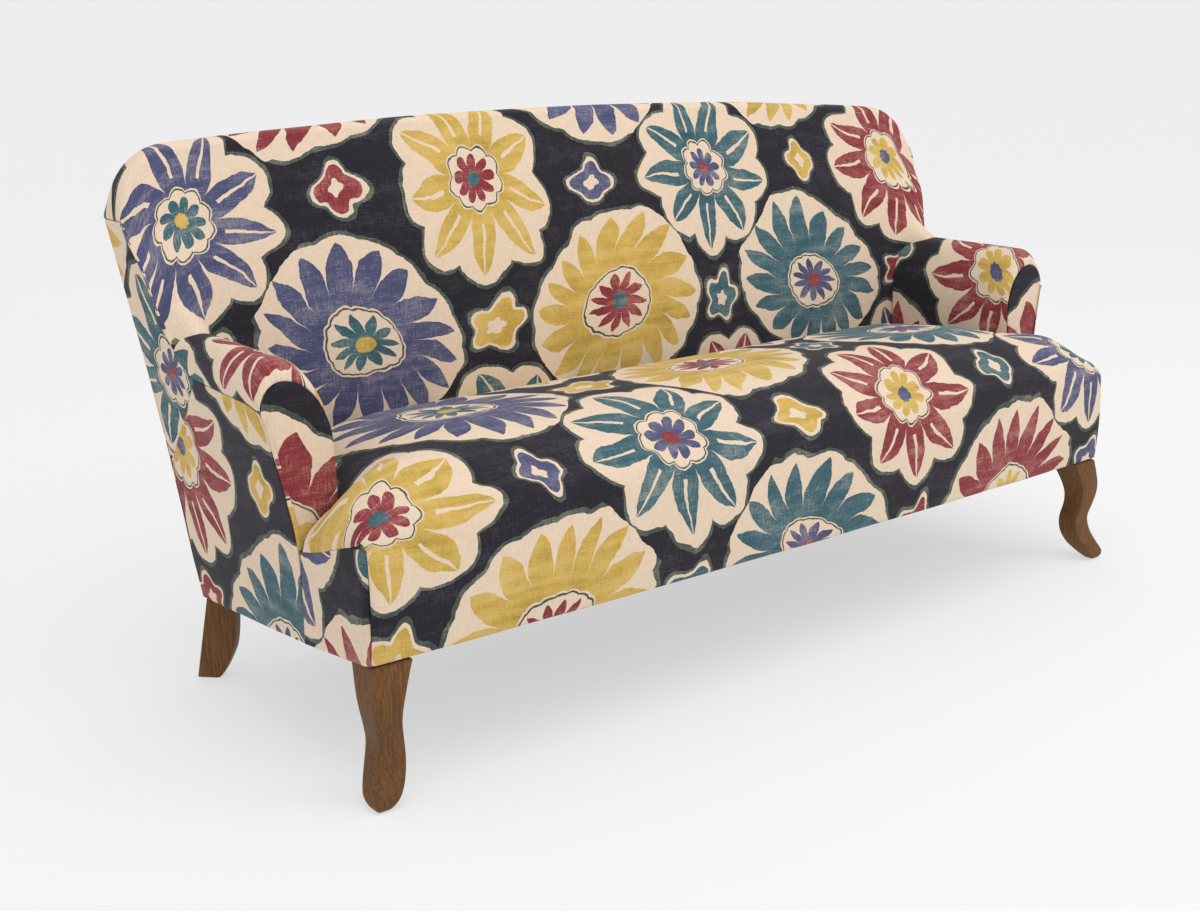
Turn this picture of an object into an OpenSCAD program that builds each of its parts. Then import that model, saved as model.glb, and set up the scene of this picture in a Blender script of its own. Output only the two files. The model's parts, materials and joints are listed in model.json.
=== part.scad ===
// Upholstered three-seater sofa with a tight crowned seat, low domed arms and a raked, arched back.
// Millimetres. +X to the sitter's left-hand arm as seen from the front right, +Y to the rear, +Z up.

/* [Overall size] */
// Width of the seat over its side panels
seat_w = 1760; // [1500:10:2000]
// Height of the underside at the front edge
front_h = 218; // [205:1:230]
// Height of the underside at the rear face
rear_h = 148; // [138:1:158]
// Depth of the base, from the front edge to the rear face
base_d = 600; // [588:1:640]
// Height of the back's crest above the floor
back_h = 940; // [925:1:975]

/* [Seat] */
// Height of the seat's front top edge
edge_h = 410; // [400:1:420]
// Rise of the crown above the line of that edge
crown_rise = 113; // [95:1:130]
// Depth over which the crown rises from the front
crown_run = 300; // [260:5:340]
// Forward bow of the front edge at mid width
front_bow = 17; // [8:1:20]
// Swell of the front border
belly = 4; // [2:1:6]
// Radius of the seat's front top edge
edge_r = 28; // [20:1:34]
// Depth of the T-shaped front, up to the arm facings
tee_d = 184; // [170:1:200]

/* [Arms] */
// Thickness of a padded arm
arm_t = 84; // [78:1:92]
// Height where the dome of the arm begins
arm_spring_h = 563; // [550:1:575]
// Rise of the arm's crest above that height
arm_rise = 66; // [55:1:82]
// Rise of the facing's arch above that height
facing_rise = 34; // [27:1:43]
// Distance from the seat's side to the inside of the arm
arm_inset = 68; // [62:1:72]

/* [Back] */
// Outward lean of the arms and back, as a slope
flare_slope = 0.225; // [0.19:0.005:0.25]
// Drop of the crest from the middle to the shoulders
crest_sag = 30; // [20:1:36]
// Radius of the rounded shoulders
shoulder_r = 115; // [105:1:130]
// Thickness of the back at the height of the seat
back_t = 88; // [80:1:100]
// How far the top of the inside back lies behind its foot
back_lean = 121.5; // [110:0.5:126]
// How far the top of the rear face lies behind its foot
rear_lean = 70.5; // [60:0.5:80]

/* [Cover and padding] */
// Thickness of the cover with its fibre wrap
cover_t = 3; // [2:0.5:3.5]
// Clearance between soft layers
soft_gap = 0.4; // [0.3:0.05:0.6]
// Thickness of the padding on the arms
arm_pad_t = 18; // [14:1:19]

/* [Frame] */
// Height of the seat rails
rail_h = 100; // [90:1:104]
// Thickness of the seat rails
rail_t = 28; // [24:1:30]
// Thickness of the top rail and the back uprights
back_rail_t = 20; // [16:1:21]
// Clearance between glued frame parts
joint_gap = 0.1; // [0.05:0.05:0.2]

/* [Legs] */
// Side of the square top of a front leg
leg_top = 60; // [54:1:62]
// Width of a rear leg's face at its top
rear_leg_w = 50; // [46:1:54]
// Thickness of a rear leg
rear_leg_t = 32; // [28:1:36]
// Diameter of the hanger bolts
bolt_d = 8; // [6:1:10]
// Clearance around the hanger bolts
bolt_gap = 0.1; // [0.05:0.05:0.2]

/* [Springs and webbing] */
// Number of seat springs
spring_count = 13; // [9:1:15]
// Wire diameter of the seat springs
spring_wire = 3.8; // [3.2:0.2:4.2]
// Rise of a seat spring's arch
spring_arch = 36; // [25:1:42]
// Width of the back webbing
webbing_w = 50; // [40:1:60]

/* [Hidden] */

wood = "#74522f";
beech = "#c9a777";
steel = "#8d9298";
cloth = "#3b3a46";
cream = "#e3c9ae";
foam = "#e9e0b8";
jute = "#a98d5f";
black_cloth = "#1d1d1f";

half_w = seat_w / 2;
seat_d = base_d - back_t;
pitch = (front_h - rear_h) / base_d;
pitch_angle = atan(pitch);
skin = cover_t + soft_gap;
under_layer = cover_t + 2 * soft_gap;
flare_h = 355;
flare_soft = 60;
rear_tuck = 24;
facing_lean = 0.07;
arm_front = tee_d + 6;
arm_h = arm_spring_h + arm_rise;
facing_h = arm_spring_h + facing_rise;
arm_in_x = half_w - arm_inset;
arm_end = seat_d + 8;

// Small functions
function lerp(a, b, t) = a + (b - a) * t;
function unit(t) = max(0, min(1, t));
function smooth(t) = let (c = unit(t)) c * c * (3 - 2 * c);
function soft_ramp(h, r) = (h + sqrt(h * h + r * r)) / 2;

// Underside of the upholstery, which slopes down to the rear
function under(y) = front_h - pitch * y;

// Outer face of the base, arms and back, as a distance from the middle
function flare(z) = flare_slope * soft_ramp(z - flare_h, flare_soft);
function tuck_in(y, z) = rear_tuck * unit((y - arm_front) / (base_d - arm_front))
    * unit((flare_h - z) / (flare_h - rear_h));
function flare_share(y) = 1 - 0.28 * smooth((y - arm_front) / (seat_d - arm_front));
function side_x(y, z) = half_w - 2 - tuck_in(y, z) + flare(z) * flare_share(y);
function arm_inner(z) = max(arm_in_x, half_w - 2 + flare(z) - arm_t);
function face_y(z) = arm_front + facing_lean * max(0, z - flare_h);

// Front and rear faces of the back
back_low = 330;
rake_start = edge_h + 130;
back_rake = back_lean / soft_ramp(back_h - rake_start, 90);
rear_rake = rear_lean / soft_ramp(back_h - back_low, 100);
function back_front(z) = seat_d + back_rake * soft_ramp(z - rake_start, 90);
function back_rear(z) = base_d + rear_rake * soft_ramp(z - back_low, 100);

// Upper outline of the back: the crest, then a quarter circle at each shoulder
shoulder_z = back_h - crest_sag - shoulder_r;
back_side = side_x(base_d, shoulder_z);
crest_x = back_side - shoulder_r;
crest_share = 0.5;
function crest(x) = back_h - crest_sag * pow(x / crest_x, 2);
function shoulder_turn(u) = 90 * unit((abs(u) - crest_share) / (1 - crest_share));
function outline(u) = let (turn = shoulder_turn(u), side = sign(u))
    abs(u) <= crest_share
        ? [crest_x * u / crest_share, crest(crest_x * u / crest_share)]
        : [side * (crest_x + shoulder_r * sin(turn)), shoulder_z + shoulder_r * cos(turn)];
function outline_out(u) = let (turn = shoulder_turn(u)) [sign(u) * sin(turn), cos(turn)];

// Inside face of the back, with its swell, and the line where the seat and arms meet it
swell = 15;
function back_swell(x, z) = swell * (1 - pow(unit(abs(x) / back_side), 4))
    * sin(180 * unit(0.1 + 0.85 * (z - back_low) / (back_h - back_low)));
function back_face(x, z) = back_front(z) - back_swell(x, z);
function against_back(x, z) = back_face(x, z) - 2.6;

// Grids: rows of points, with the outward side where columns turn into rows by the right hand
function column_step(g, r, c) = let (n = len(g[r]) - 1) g[r][min(c + 1, n)] - g[r][max(c - 1, 0)];
function row_step(g, r, c) = let (n = len(g) - 1) g[min(r + 1, n)][c] - g[max(r - 1, 0)][c];
function outward(g, r, c) = let (n = cross(column_step(g, r, c), row_step(g, r, c))) n / norm(n);
function grown(g, d) = [for (r = [0:len(g) - 1]) [for (c = [0:len(g[r]) - 1]) g[r][c] + d * outward(g, r, c)]];

// Closed solid between an outer and an inner grid of equal size
module between(outer, inner) {
    rows = len(outer);
    cols = len(outer[0]);
    count = rows * cols;
    rim = concat(
        [for (c = [0:cols - 1]) c],
        [for (r = [1:rows - 1]) r * cols + cols - 1],
        [for (c = [cols - 2:-1:0]) (rows - 1) * cols + c],
        [for (r = [rows - 2:-1:1]) r * cols]
    );
    faces = concat(
        [for (r = [0:rows - 2], c = [0:cols - 2]) let (a = r * cols + c, b = a + 1, d = a + cols, e = d + 1)
            each [[a, e, b], [a, d, e]]],
        [for (r = [0:rows - 2], c = [0:cols - 2]) let (a = count + r * cols + c, b = a + 1, d = a + cols, e = d + 1)
            each [[a, b, e], [a, e, d]]],
        [for (i = [0:len(rim) - 1]) let (p = rim[i], q = rim[(i + 1) % len(rim)])
            each [[q + count, p + count, p], [q + count, p, q]]]
    );
    polyhedron([for (g = [outer, inner]) each [for (row = g) each row]], faces);
}

module cover(g) between(g, grown(g, -cover_t));

module left_and_right(side) {
    if (side < 0) mirror([1, 0, 0]) children();
    else children();
}

// Places a piece in the sloping plane of the seat frame
function pitched_yz(s, h) = [s * cos(pitch_angle) + h * sin(pitch_angle),
    front_h + under_layer - s * sin(pitch_angle) + h * cos(pitch_angle)];
module pitched() translate([0, 0, front_h + under_layer]) rotate([-pitch_angle, 0, 0]) children();

// Places a piece in the raked plane of the back frame
rake_y = lerp(seat_d, base_d, 0.466);
rake_z = edge_h - 10;
frame_rake = (lerp(back_front(back_h), back_rear(back_h), 0.245) - rake_y) / (back_h - rake_z);
rake_angle = atan(frame_rake);
function frame_y(z) = rake_y + frame_rake * (z - rake_z);
module raked() translate([0, rake_y, rake_z]) rotate([-rake_angle, 0, 0]) children();
function raked_v(z) = (z - rake_z) / cos(rake_angle);

// Seat
springs_y0 = 34;
springs_y1 = base_d - 38;
corner_r = 18;
function front_line(x) = let (d = max(0, abs(x) - half_w + corner_r))
    -front_bow * (1 - pow(x / half_w, 2)) + corner_r - sqrt(corner_r * corner_r - d * d);
function wrapped(x, t) = x * lerp(1 - 0.3 * corner_r / half_w, 1, t);
function arch(y) = let (t = unit((y - springs_y0) / (springs_y1 - springs_y0))) 4 * spring_arch * t * (1 - t);
function spring_z(y) = under(y) + under_layer + rail_h + 4.6 + arch(y);
hessian_t = 1.5;
rod_d = 3;
function hessian_z(y) = spring_z(y) + spring_wire / 2 + rod_d + 2 * soft_gap + 1;
function deck(y) = hessian_z(y) + hessian_t + 1.2;

side_gap = 2 * soft_gap;
function half_at(y) = y <= tee_d ? half_w : arm_in_x - side_gap;
function side_round(d, r) = d < r ? sqrt(r * r - (r - d) * (r - d)) - r : 0;
function ear_round(y) = lerp(14, 45, smooth(y / tee_d));
function seat_line(y) = edge_h - pitch * y;
function crown_depth(y) = 1 - pow(1 - unit((y + 6) / crown_run), 3);
function crown_rear(y) = 1 - 0.28 * smooth((y - seat_d + 132) / 130);
function crown_tee(x) = 1 - pow(1 - unit((half_w - abs(x)) / 145), 3);
function crown_well(x) = abs(x) > arm_in_x
    ? 0.2 * unit((arm_in_x + 45 - abs(x)) / 45)
    : lerp(0.2, 1, 1 - pow(1 - unit((arm_in_x - abs(x)) / 250), 3));
function crown_side(x, y) = lerp(crown_tee(x), crown_well(x), smooth((y - 90) / (tee_d - 90)));
function crown(x, y) = crown_rise * crown_depth(y) * crown_rear(y) * crown_side(x, y);
function seat_z(x, y) = seat_line(y) + crown(x, y)
    + (y <= tee_d ? side_round(half_w - abs(x), ear_round(y)) : 0);

seat_cols = 22;
seat_turns = [30, 60, 90];
seat_rows_tee = [52, 85, 125, 158, tee_d];
seat_rows_well = [0:0.2:1];
function spread(c, n) = let (t = 2 * c / n - 1) sign(t) * (1 - pow(1 - abs(t), 1.35));
function seat_front_top(x) = min(seat_line(0) - edge_r, seat_line(0) + side_round(half_w - abs(x), ear_round(0)));
function seat_front_row(k) = [for (c = [0:seat_cols]) let (
        x = wrapped(spread(c, seat_cols) * half_w, 0), y = front_line(x), low = under(y), high = seat_front_top(x))
    [x, y - belly * sin(90 * k), lerp(low, high, k / 2)]];
function seat_turn_row(turn) = [for (c = [0:seat_cols]) let (
        x = wrapped(spread(c, seat_cols) * half_w, 1 - cos(turn)), y = front_line(wrapped(x, 0)), high = seat_front_top(x))
    [x, lerp(y, edge_r, 1 - cos(turn)), lerp(high, max(high + 3, seat_z(x, edge_r)), sin(turn))]];
function seat_depth_row(y) = [for (c = [0:seat_cols]) let (x = spread(c, seat_cols) * half_at(y)) [x, y, seat_z(x, y)]];
function seat_rear(x) = min([for (z = [390, 415, 440]) against_back(x, z)]) - soft_gap;
function seat_well_row(t) = [for (c = [0:seat_cols]) let (
        x = spread(c, seat_cols) * half_at(seat_d), y = lerp(tee_d + 0.6, seat_rear(x), t))
    [x, y, seat_z(x, y)]];
function seat_upper() = concat(
    [for (k = [1:2]) seat_front_row(k)],
    [for (turn = seat_turns) seat_turn_row(turn)],
    [for (y = seat_rows_tee) seat_depth_row(y)],
    [for (t = seat_rows_well) seat_well_row(t)]);
function seat_grid() = concat([seat_front_row(0)], seat_upper());

module seat_cover() color(cloth) cover(seat_grid());

// The pad keeps inside the side panels, so its outer columns are drawn in
function drawn_in(p) = [sign(p.x) * min(abs(p.x), (p.y <= tee_d ? half_w - 2 * skin : half_at(p.y) - skin)), p.y, p.z];
module seat_pad() {
    upper = seat_upper();
    top = [for (row = grown([for (r = [1:len(upper) - 1]) upper[r]], -skin - 1.9)) [for (p = row) drawn_in(p)]];
    color(foam) between(top, [for (row = top) [for (p = row) [p.x, p.y, deck(max(0, p.y))]]]);
}

module front_pad() {
    rows = [for (t = [0:0.5:1]) [for (c = [0:seat_cols]) let (
            x = spread(c, seat_cols) * (half_w - 2 * corner_r), y = front_line(x),
            z = lerp(under(y) + under_layer + 4, deck(24) - 1, t),
            low = under(y), high = seat_front_top(x))
        [x, y - belly * (1 - abs(2 * (z - low) / (high - low) - 1)) + skin + 0.5, z]]];
    color(foam) between(rows, [for (row = rows) [for (p = row)
        [p.x, frame_front - 0.6 + (p.z - under(0) - under_layer) * pitch, p.z]]]);
}

// Panel on the side of the T: columns run to the rear, rows run up
function edge_turn(y) = sin(acos(1 - unit(y / edge_r)));
function side_edge(y) = y > edge_r ? seat_z(half_w, min(y, tee_d))
    : lerp(seat_front_top(half_w), max(seat_front_top(half_w) + 3, seat_z(half_w, edge_r)), edge_turn(y));
function corner_in(y) = let (d = max(0, corner_r - y)) corner_r - sqrt(corner_r * corner_r - d * d);
module seat_side(side) {
    columns = [skin + 5, 13, corner_r + 2, edge_r, 52, 85, 125, 158, arm_front - soft_gap];
    rows = [for (t = [0, 0.5, 1]) [for (y = columns)
        [half_w - soft_gap - corner_in(y), y, lerp(under(y), side_edge(y) - skin - soft_gap, t)]]];
    color(cloth) left_and_right(side) cover(rows);
}

// Arms, drawn for the right side
arm_stations = [0, 0.012, 0.036, 0.075, 0.12, 0.3, 0.52, 0.72, 0.79, 0.86, 0.93, 1];
arm_turns = [170, 145, 120, 95, 70, 45, 22, 0];
arm_wall = [for (t = [0, 0.34, 0.68, 1]) lerp(back_low + 5, arm_spring_h - 38, t)];
function dome(y) = sqrt(1 - pow(1 - unit((y - arm_front) / 32), 2));
function arm_puff(y) = 8 * dome(y);
function arm_crest(y, dome_y) = lerp(facing_h, arm_h, dome(dome_y)) + 52 * pow(max(0, (y - seat_d + 112) / 160), 2);
seam_turn_y = seat_d - 72;
function arm_seam(y) = arm_spring_h + 72 * pow(max(0, (y - seam_turn_y) / 105), 1.4);
function seam_y(z) = seam_turn_y + 105 * pow((z - arm_spring_h) / 72, 1 / 1.4);
function arm_y_at(t, z) = lerp(face_y(z), back_front(z) - 3, t);
function arm_y(t) = let (z1 = arm_seam(arm_y_at(t, arm_spring_h)), z2 = arm_seam(arm_y_at(t, z1))) arm_y_at(t, z2);
function arm_point(t, w) = let (y = arm_y(t), puff = arm_puff(lerp(arm_front, arm_end, t)),
        inner = arm_inner(arm_spring_h), outer = side_x(y, arm_seam(y)),
        middle = (inner + outer) / 2 + 6 * unit((y - seat_d + 82) / 90), reach = (outer - inner) / 2 + puff,
        p = w < len(arm_wall)
            ? [arm_inner(arm_wall[w]) - puff * max(0, w - 1) / (len(arm_wall) - 1), arm_wall[w]]
            : let (turn = arm_turns[w - len(arm_wall)])
              [lerp(middle + reach * cos(turn), outer, turn == 0 ? 1 : 0),
               lerp(arm_spring_h, arm_seam(y), (1 + cos(turn)) / 2) + (arm_crest(y, lerp(arm_front, arm_end, t)) - arm_spring_h) * sin(turn)])
    [p[0], lerp(face_y(p[1]), against_back(p[0], p[1]), t), p[1]];
function arm_grid(share = 1) = [for (t = arm_stations) [for (w = [0:len(arm_wall) + len(arm_turns) - 1])
    arm_point(t * share, w)]];

module arm_cover(side) color(cloth) left_and_right(side) cover(arm_grid());
module arm_pad(side) {
    g = arm_grid(0.94);
    color(foam) left_and_right(side) between(grown(g, -skin - 1), grown(g, -skin - arm_pad_t));
}

// Facing: rows run up the arm front and close under the arch
module arm_facing(side) {
    heights = [for (t = [0, 0.29, 0.67, 1]) lerp(back_low + 16, arm_spring_h - 33, t)];
    turns = [0, 25, 48, 66, 80];
    inner = arm_inner(arm_spring_h);
    outer = side_x(arm_front, arm_spring_h);
    function facing_row(in_x, out_x, z) = [for (t = [0:0.25:1]) [lerp(in_x, out_x, t), face_y(z) - soft_gap, z]];
    rows = concat(
        [for (z = heights) facing_row(arm_inner(z), side_x(arm_front, z), z)],
        [for (turn = turns) let (m = (inner + outer) / 2, a = (outer - inner) / 2 * cos(turn))
            facing_row(m - a, m + a, arm_spring_h + (facing_h - arm_spring_h) * sin(turn))]);
    color(cloth) left_and_right(side) between([for (row = rows) [for (p = row) p - [0, cover_t, 0]]], rows);
}

// Outer arm panel and its lining: columns run to the rear, rows run up to the seam
outer_columns = [0, 0.2, 0.4, 0.6, 0.75, 0.88, 1];
seam_low_z = arm_spring_h - 161;
function outer_top(y) = y < seam_turn_y ? arm_spring_h - skin
    : lerp(arm_spring_h - skin, seam_low_z - skin, (y - seam_turn_y) / (base_d - seam_turn_y));
function outer_y(s, z, short) = lerp(face_y(z), back_rear(z) - skin - short, s);
function outer_grid(low, short) = [for (t = [0, 0.25, 0.5, 0.75, 1]) [for (s = outer_columns)
    let (z1 = outer_top(outer_y(s, 480, short)), z2 = outer_top(outer_y(s, z1, short)),
        top = outer_top(outer_y(s, z2, short)), bottom = under(outer_y(s, rear_h, short)),
        z = lerp(bottom + low, top - low, t), y = outer_y(s, z, short))
    [side_x(y, z), y, z]]];
module outer_arm(side) color(cloth) left_and_right(side) cover(outer_grid(0, 0));
module arm_lining(side) color(jute) left_and_right(side)
    between(grown(outer_grid(6, 100), -skin - 0.4), grown(outer_grid(6, 100), -skin - 2.4));

// Back
roll = 14;
back_rows = [0, 0.15, 0.28, 0.41, 0.54, 0.68, 0.84, 1];
roll_turns = [35, 90, 145, 175];
back_cols = 24;
function back_u(c) = 2 * c / back_cols - 1;
function roll_at(u) = roll * smooth((1 - abs(u)) / 0.12);
function inner_outline(u) = outline(u) - roll_at(u) * outline_out(u);
function back_point(u, v, inset = skin) = let (top = inner_outline(u), z = lerp(back_low, top[1], v),
        half = side_x(base_d, lerp(back_low, shoulder_z, v)), x = abs(top[0]) * half / back_side,
        across = sign(u) * min(x, half - inset))
    [across, back_face(across, z), z];
function back_roll(u, turn) = let (top = inner_outline(u), out = outline_out(u) * roll_at(u) * sin(turn),
        y0 = back_face(top[0], top[1]), y1 = back_rear(top[1]))
    [top[0] + out[0], (y0 + y1) / 2 - (y1 - y0) / 2 * cos(turn), top[1] + out[1]];

module inside_back() color(cloth) cover(concat(
    [for (v = back_rows) [for (c = [0:back_cols]) back_point(back_u(c), v)]],
    [for (turn = roll_turns) [for (c = [0:back_cols]) back_roll(back_u(c), turn)]]));

module back_pad() {
    front = grown([for (v = back_rows) [for (c = [0:back_cols])
        back_point(back_u(c), 0.02 + 0.965 * v, 3 * skin)]], -skin - 0.8);
    rear = [for (row = front) [for (p = row) [p.x, max(p.y + 2, frame_y(p.z) - 4), p.z]]];
    color(foam) between(front, rear);
}

// Gusset on the side of the back: columns run to the rear, rows run up
gusset_heights = concat([for (t = [0, 0.3, 0.64]) lerp(seam_low_z + 2, arm_spring_h + 1, t)],
    [for (t = [0, 0.05, 0.11, 0.2, 0.33, 0.44, 0.55, 0.72, 1]) lerp(arm_spring_h + 1, shoulder_z - 2, t)]);
function gusset_front(z) = z < arm_spring_h
    ? lerp(base_d - 1, seam_turn_y, (z - seam_low_z) / (arm_spring_h - seam_low_z)) + 2
    : min(back_front(z) + soft_gap, seam_y(z) + 4.5);
module back_gusset(side) {
    rows = [for (z = gusset_heights) [for (t = [0:0.25:1])
        let (y = lerp(min(gusset_front(z), back_rear(z) - skin - 8), back_rear(z) - skin, t)) [side_x(y, z), y, z]]];
    color(cloth) left_and_right(side) cover(rows);
}

module outside_back() {
    function row(v) = [for (c = [0:back_cols]) let (u = back_u(c), top = outline(u) - max(roll_at(u) + 1.4, under_layer) * outline_out(u),
            z = lerp(rear_h + 1, top[1], v), side = lerp(rear_h, shoulder_z, v))
        [top[0] * side_x(base_d, side) / back_side, back_rear(z), z]];
    color(cloth) cover([for (v = [1, 0.75, 0.5, 0.25, 0]) row(v)]);
}

module dust_cover() {
    x = half_w - rear_tuck - 12;
    reach = 0.6 * leg_top + 2;
    notch = leg_x - reach;
    rear_notch = rear_leg_x - 38;
    right = [[notch, 8], [notch, leg_y + reach], [x, leg_y + reach],
        [x, rear_leg_y - 38], [rear_notch, rear_leg_y - 38], [rear_notch, base_d - 10]];
    color(black_cloth) pitched() translate([0, 0, -1.2]) linear_extrude(1)
        polygon(concat(right, [for (i = [len(right) - 1:-1:0]) [-right[i][0], right[i][1]]]));
}

// Seat frame
frame_front = 10;
post_w = 54;
rail_in = 826;
rail_x = half_w - 54;
rear_rail_s = base_d - 41;
back_post_s = base_d - 79;
back_post_w = 45;
back_post_x = half_w - 80;
leg_x = half_w - 34;
leg_y = 34;
rear_leg_x = half_w - 53;
rear_leg_y = base_d - 27;

module front_rail() color(beech) pitched()
    translate([-(half_w - 13 - post_w - joint_gap), frame_front, 0])
        cube([2 * (half_w - 13 - post_w - joint_gap), rail_t, rail_h]);

module rear_rail() color(beech) pitched()
    translate([-(back_post_x - joint_gap), rear_rail_s, 0])
        cube([2 * (back_post_x - joint_gap), 26, rail_h]);

module side_rail(side) color(beech) left_and_right(side) pitched()
    translate([rail_x, frame_front + leg_top + joint_gap, 0])
        cube([rail_t, back_post_s - frame_front - leg_top - 2 * joint_gap, rail_h]);

module seat_stretchers() color(beech) pitched() for (x = [-half_w / 3, half_w / 3])
    translate([x - 20, frame_front + rail_t + joint_gap, 0])
        cube([40, rear_rail_s - frame_front - rail_t - 2 * joint_gap, 55]);

insert_d = 12;
insert_h = 22;
module leg_bore(x, y, d, low, high) translate([x, y, low]) cylinder(d = d, h = high - low, $fn = 32);

module front_post(side) color(beech) left_and_right(side) pitched() difference() {
    translate([half_w - 13 - post_w, frame_front, 0]) cube([post_w, leg_top, rail_h]);
    leg_bore(leg_x, leg_y, insert_d, -1, 45);
}

block_size = 70;
module corner_blocks() color(beech) pitched() for (side = [-1, 1]) left_and_right(side) {
    size = block_size;
    x1 = rail_x - joint_gap;
    translate([0, 0, 20]) linear_extrude(45) polygon([
        [x1, frame_front + leg_top + joint_gap], [x1, frame_front + leg_top + size],
        [x1 - 24, frame_front + leg_top + size], [x1 - size, frame_front + rail_t + 40],
        [x1 - size, frame_front + rail_t + joint_gap], [half_w - 13 - post_w - joint_gap, frame_front + rail_t + joint_gap],
        [half_w - 13 - post_w - joint_gap, frame_front + leg_top + joint_gap]]);
    x2 = back_post_x - joint_gap;
    translate([0, 0, 20]) linear_extrude(45) polygon([
        [x2, rear_rail_s - joint_gap], [x2 - size, rear_rail_s - joint_gap],
        [x2 - size, rear_rail_s - 24], [x2 - 24, rear_rail_s - size], [x2, rear_rail_s - size]]);
}

module block_screws() color(steel) pitched() for (side = [-1, 1], p = [
        [rail_x - block_size, frame_front + rail_t + 22], [back_post_x - block_size, rear_rail_s - 12]])
    left_and_right(side) translate([p[0] - 2 * joint_gap, p[1], 42]) rotate([0, -90, 0])
        cylinder(d = 9, h = 3, $fn = 24);

module leg_bolts() color(steel) pitched() for (side = [-1, 1]) left_and_right(side) {
    leg_bore(leg_x, leg_y, bolt_d, -50, 40);
    leg_bore(rear_leg_x, rear_leg_y, bolt_d, -50, 40);
}

module leg_inserts() color(steel) pitched() for (side = [-1, 1], p = [[leg_x, leg_y], [rear_leg_x, rear_leg_y]])
    left_and_right(side) difference() {
        leg_bore(p[0], p[1], insert_d - 2 * bolt_gap, 0.5, 0.5 + insert_h);
        leg_bore(p[0], p[1], bolt_d + 2 * bolt_gap, 0, 1 + insert_h);
    }

// Back frame
post_lean = 0.12;
post_top_z = back_h - 140;
module back_post(side) color(beech) left_and_right(side) difference() {
    translate([back_post_x, 0, rear_h]) rotate([0, atan(post_lean), 0]) translate([0, 0, -rear_h])
        rotate([90, 0, 90]) linear_extrude(back_post_w) polygon([
            pitched_yz(back_post_s, -2), pitched_yz(rear_rail_s + 26, -2),
            [frame_y(rake_z) + 38, rake_z], [frame_y(post_top_z) + back_rail_t, post_top_z],
            [frame_y(post_top_z), post_top_z], [frame_y(rake_z), rake_z], pitched_yz(back_post_s, rail_h + 20)]);
    pitched() leg_bore(rear_leg_x, rear_leg_y, insert_d, -20, 45);
    pitched() translate([0, 0, -50]) cube([seat_w, 2 * base_d, 50]);
}

top_rail_h = 88;
module top_rail() {
    post_x = back_post_x + post_lean * (post_top_z - rear_h);
    edge = roll + 4;
    upper = [for (u = [-0.86:0.04:0.861]) outline(u) - edge * outline_out(u)];
    lower = [for (x = [0.94 * post_x, 0.6 * post_x, 0.3 * post_x, 0, -0.3 * post_x, -0.6 * post_x, -0.94 * post_x])
        [x, crest(x) - edge - top_rail_h]];
    foot_x = upper[len(upper) - 1][0];
    shape = concat(upper, [[foot_x, post_top_z + 1], [post_x, post_top_z + 1]], lower,
        [[-post_x, post_top_z + 1], [-foot_x, post_top_z + 1]]);
    color(beech) raked() translate([0, back_rail_t, 0]) rotate([90, 0, 0]) linear_extrude(back_rail_t)
        polygon([for (p = shape) [p[0], raked_v(p[1])]]);
}

lower_rail_h = 60;
lower_rail_x = back_post_x + post_lean * (rake_z - 5 - rear_h) - joint_gap;
lower_rail_top = lower_rail_x + post_lean * lower_rail_h;
module lower_back_rail() color(beech) raked() translate([0, 25, 0]) rotate([90, 0, 0]) linear_extrude(24)
    polygon([[-lower_rail_x, 0], [lower_rail_x, 0], [lower_rail_top, lower_rail_h], [-lower_rail_top, lower_rail_h]]);

module back_uprights() color(beech) raked() for (x = [-half_w / 3, half_w / 3])
    translate([x - 22, 0.5, lower_rail_h + joint_gap])
        cube([44, back_rail_t - 1, raked_v(crest(x) - roll - 4 - top_rail_h) - lower_rail_h - 3]);

// Arm frame
arm_lean = atan(0.16);
arm_wood_t = 24;
arm_post_y = arm_front + 22;
arm_post_x = half_w - 51;
module arm_leaned() translate([arm_post_x, 0, under(arm_post_y) + under_layer + rail_h])
    rotate([0, arm_lean, 0]) children();
arm_post_h = arm_spring_h - 20 - under(arm_post_y) - rail_h;
module arm_post(side) color(beech) left_and_right(side) difference() {
    arm_leaned() translate([0, arm_post_y, -20]) cube([arm_wood_t, 40, arm_post_h + 20]);
    pitched() translate([rail_x - 40, 0, -50]) cube([rail_t + 80, base_d, rail_h + 50 + joint_gap]);
}
module arm_rail(side) color(beech) left_and_right(side) arm_leaned()
    translate([0, arm_post_y, arm_post_h + joint_gap]) cube([arm_wood_t - 3, arm_end - arm_post_y - 4, arm_wood_t + 2]);
module tack_rail(side) color(beech) left_and_right(side) arm_leaned()
    translate([1, arm_post_y + 40 + joint_gap, 30]) cube([22, arm_end - arm_post_y - 50, 40]);

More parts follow.
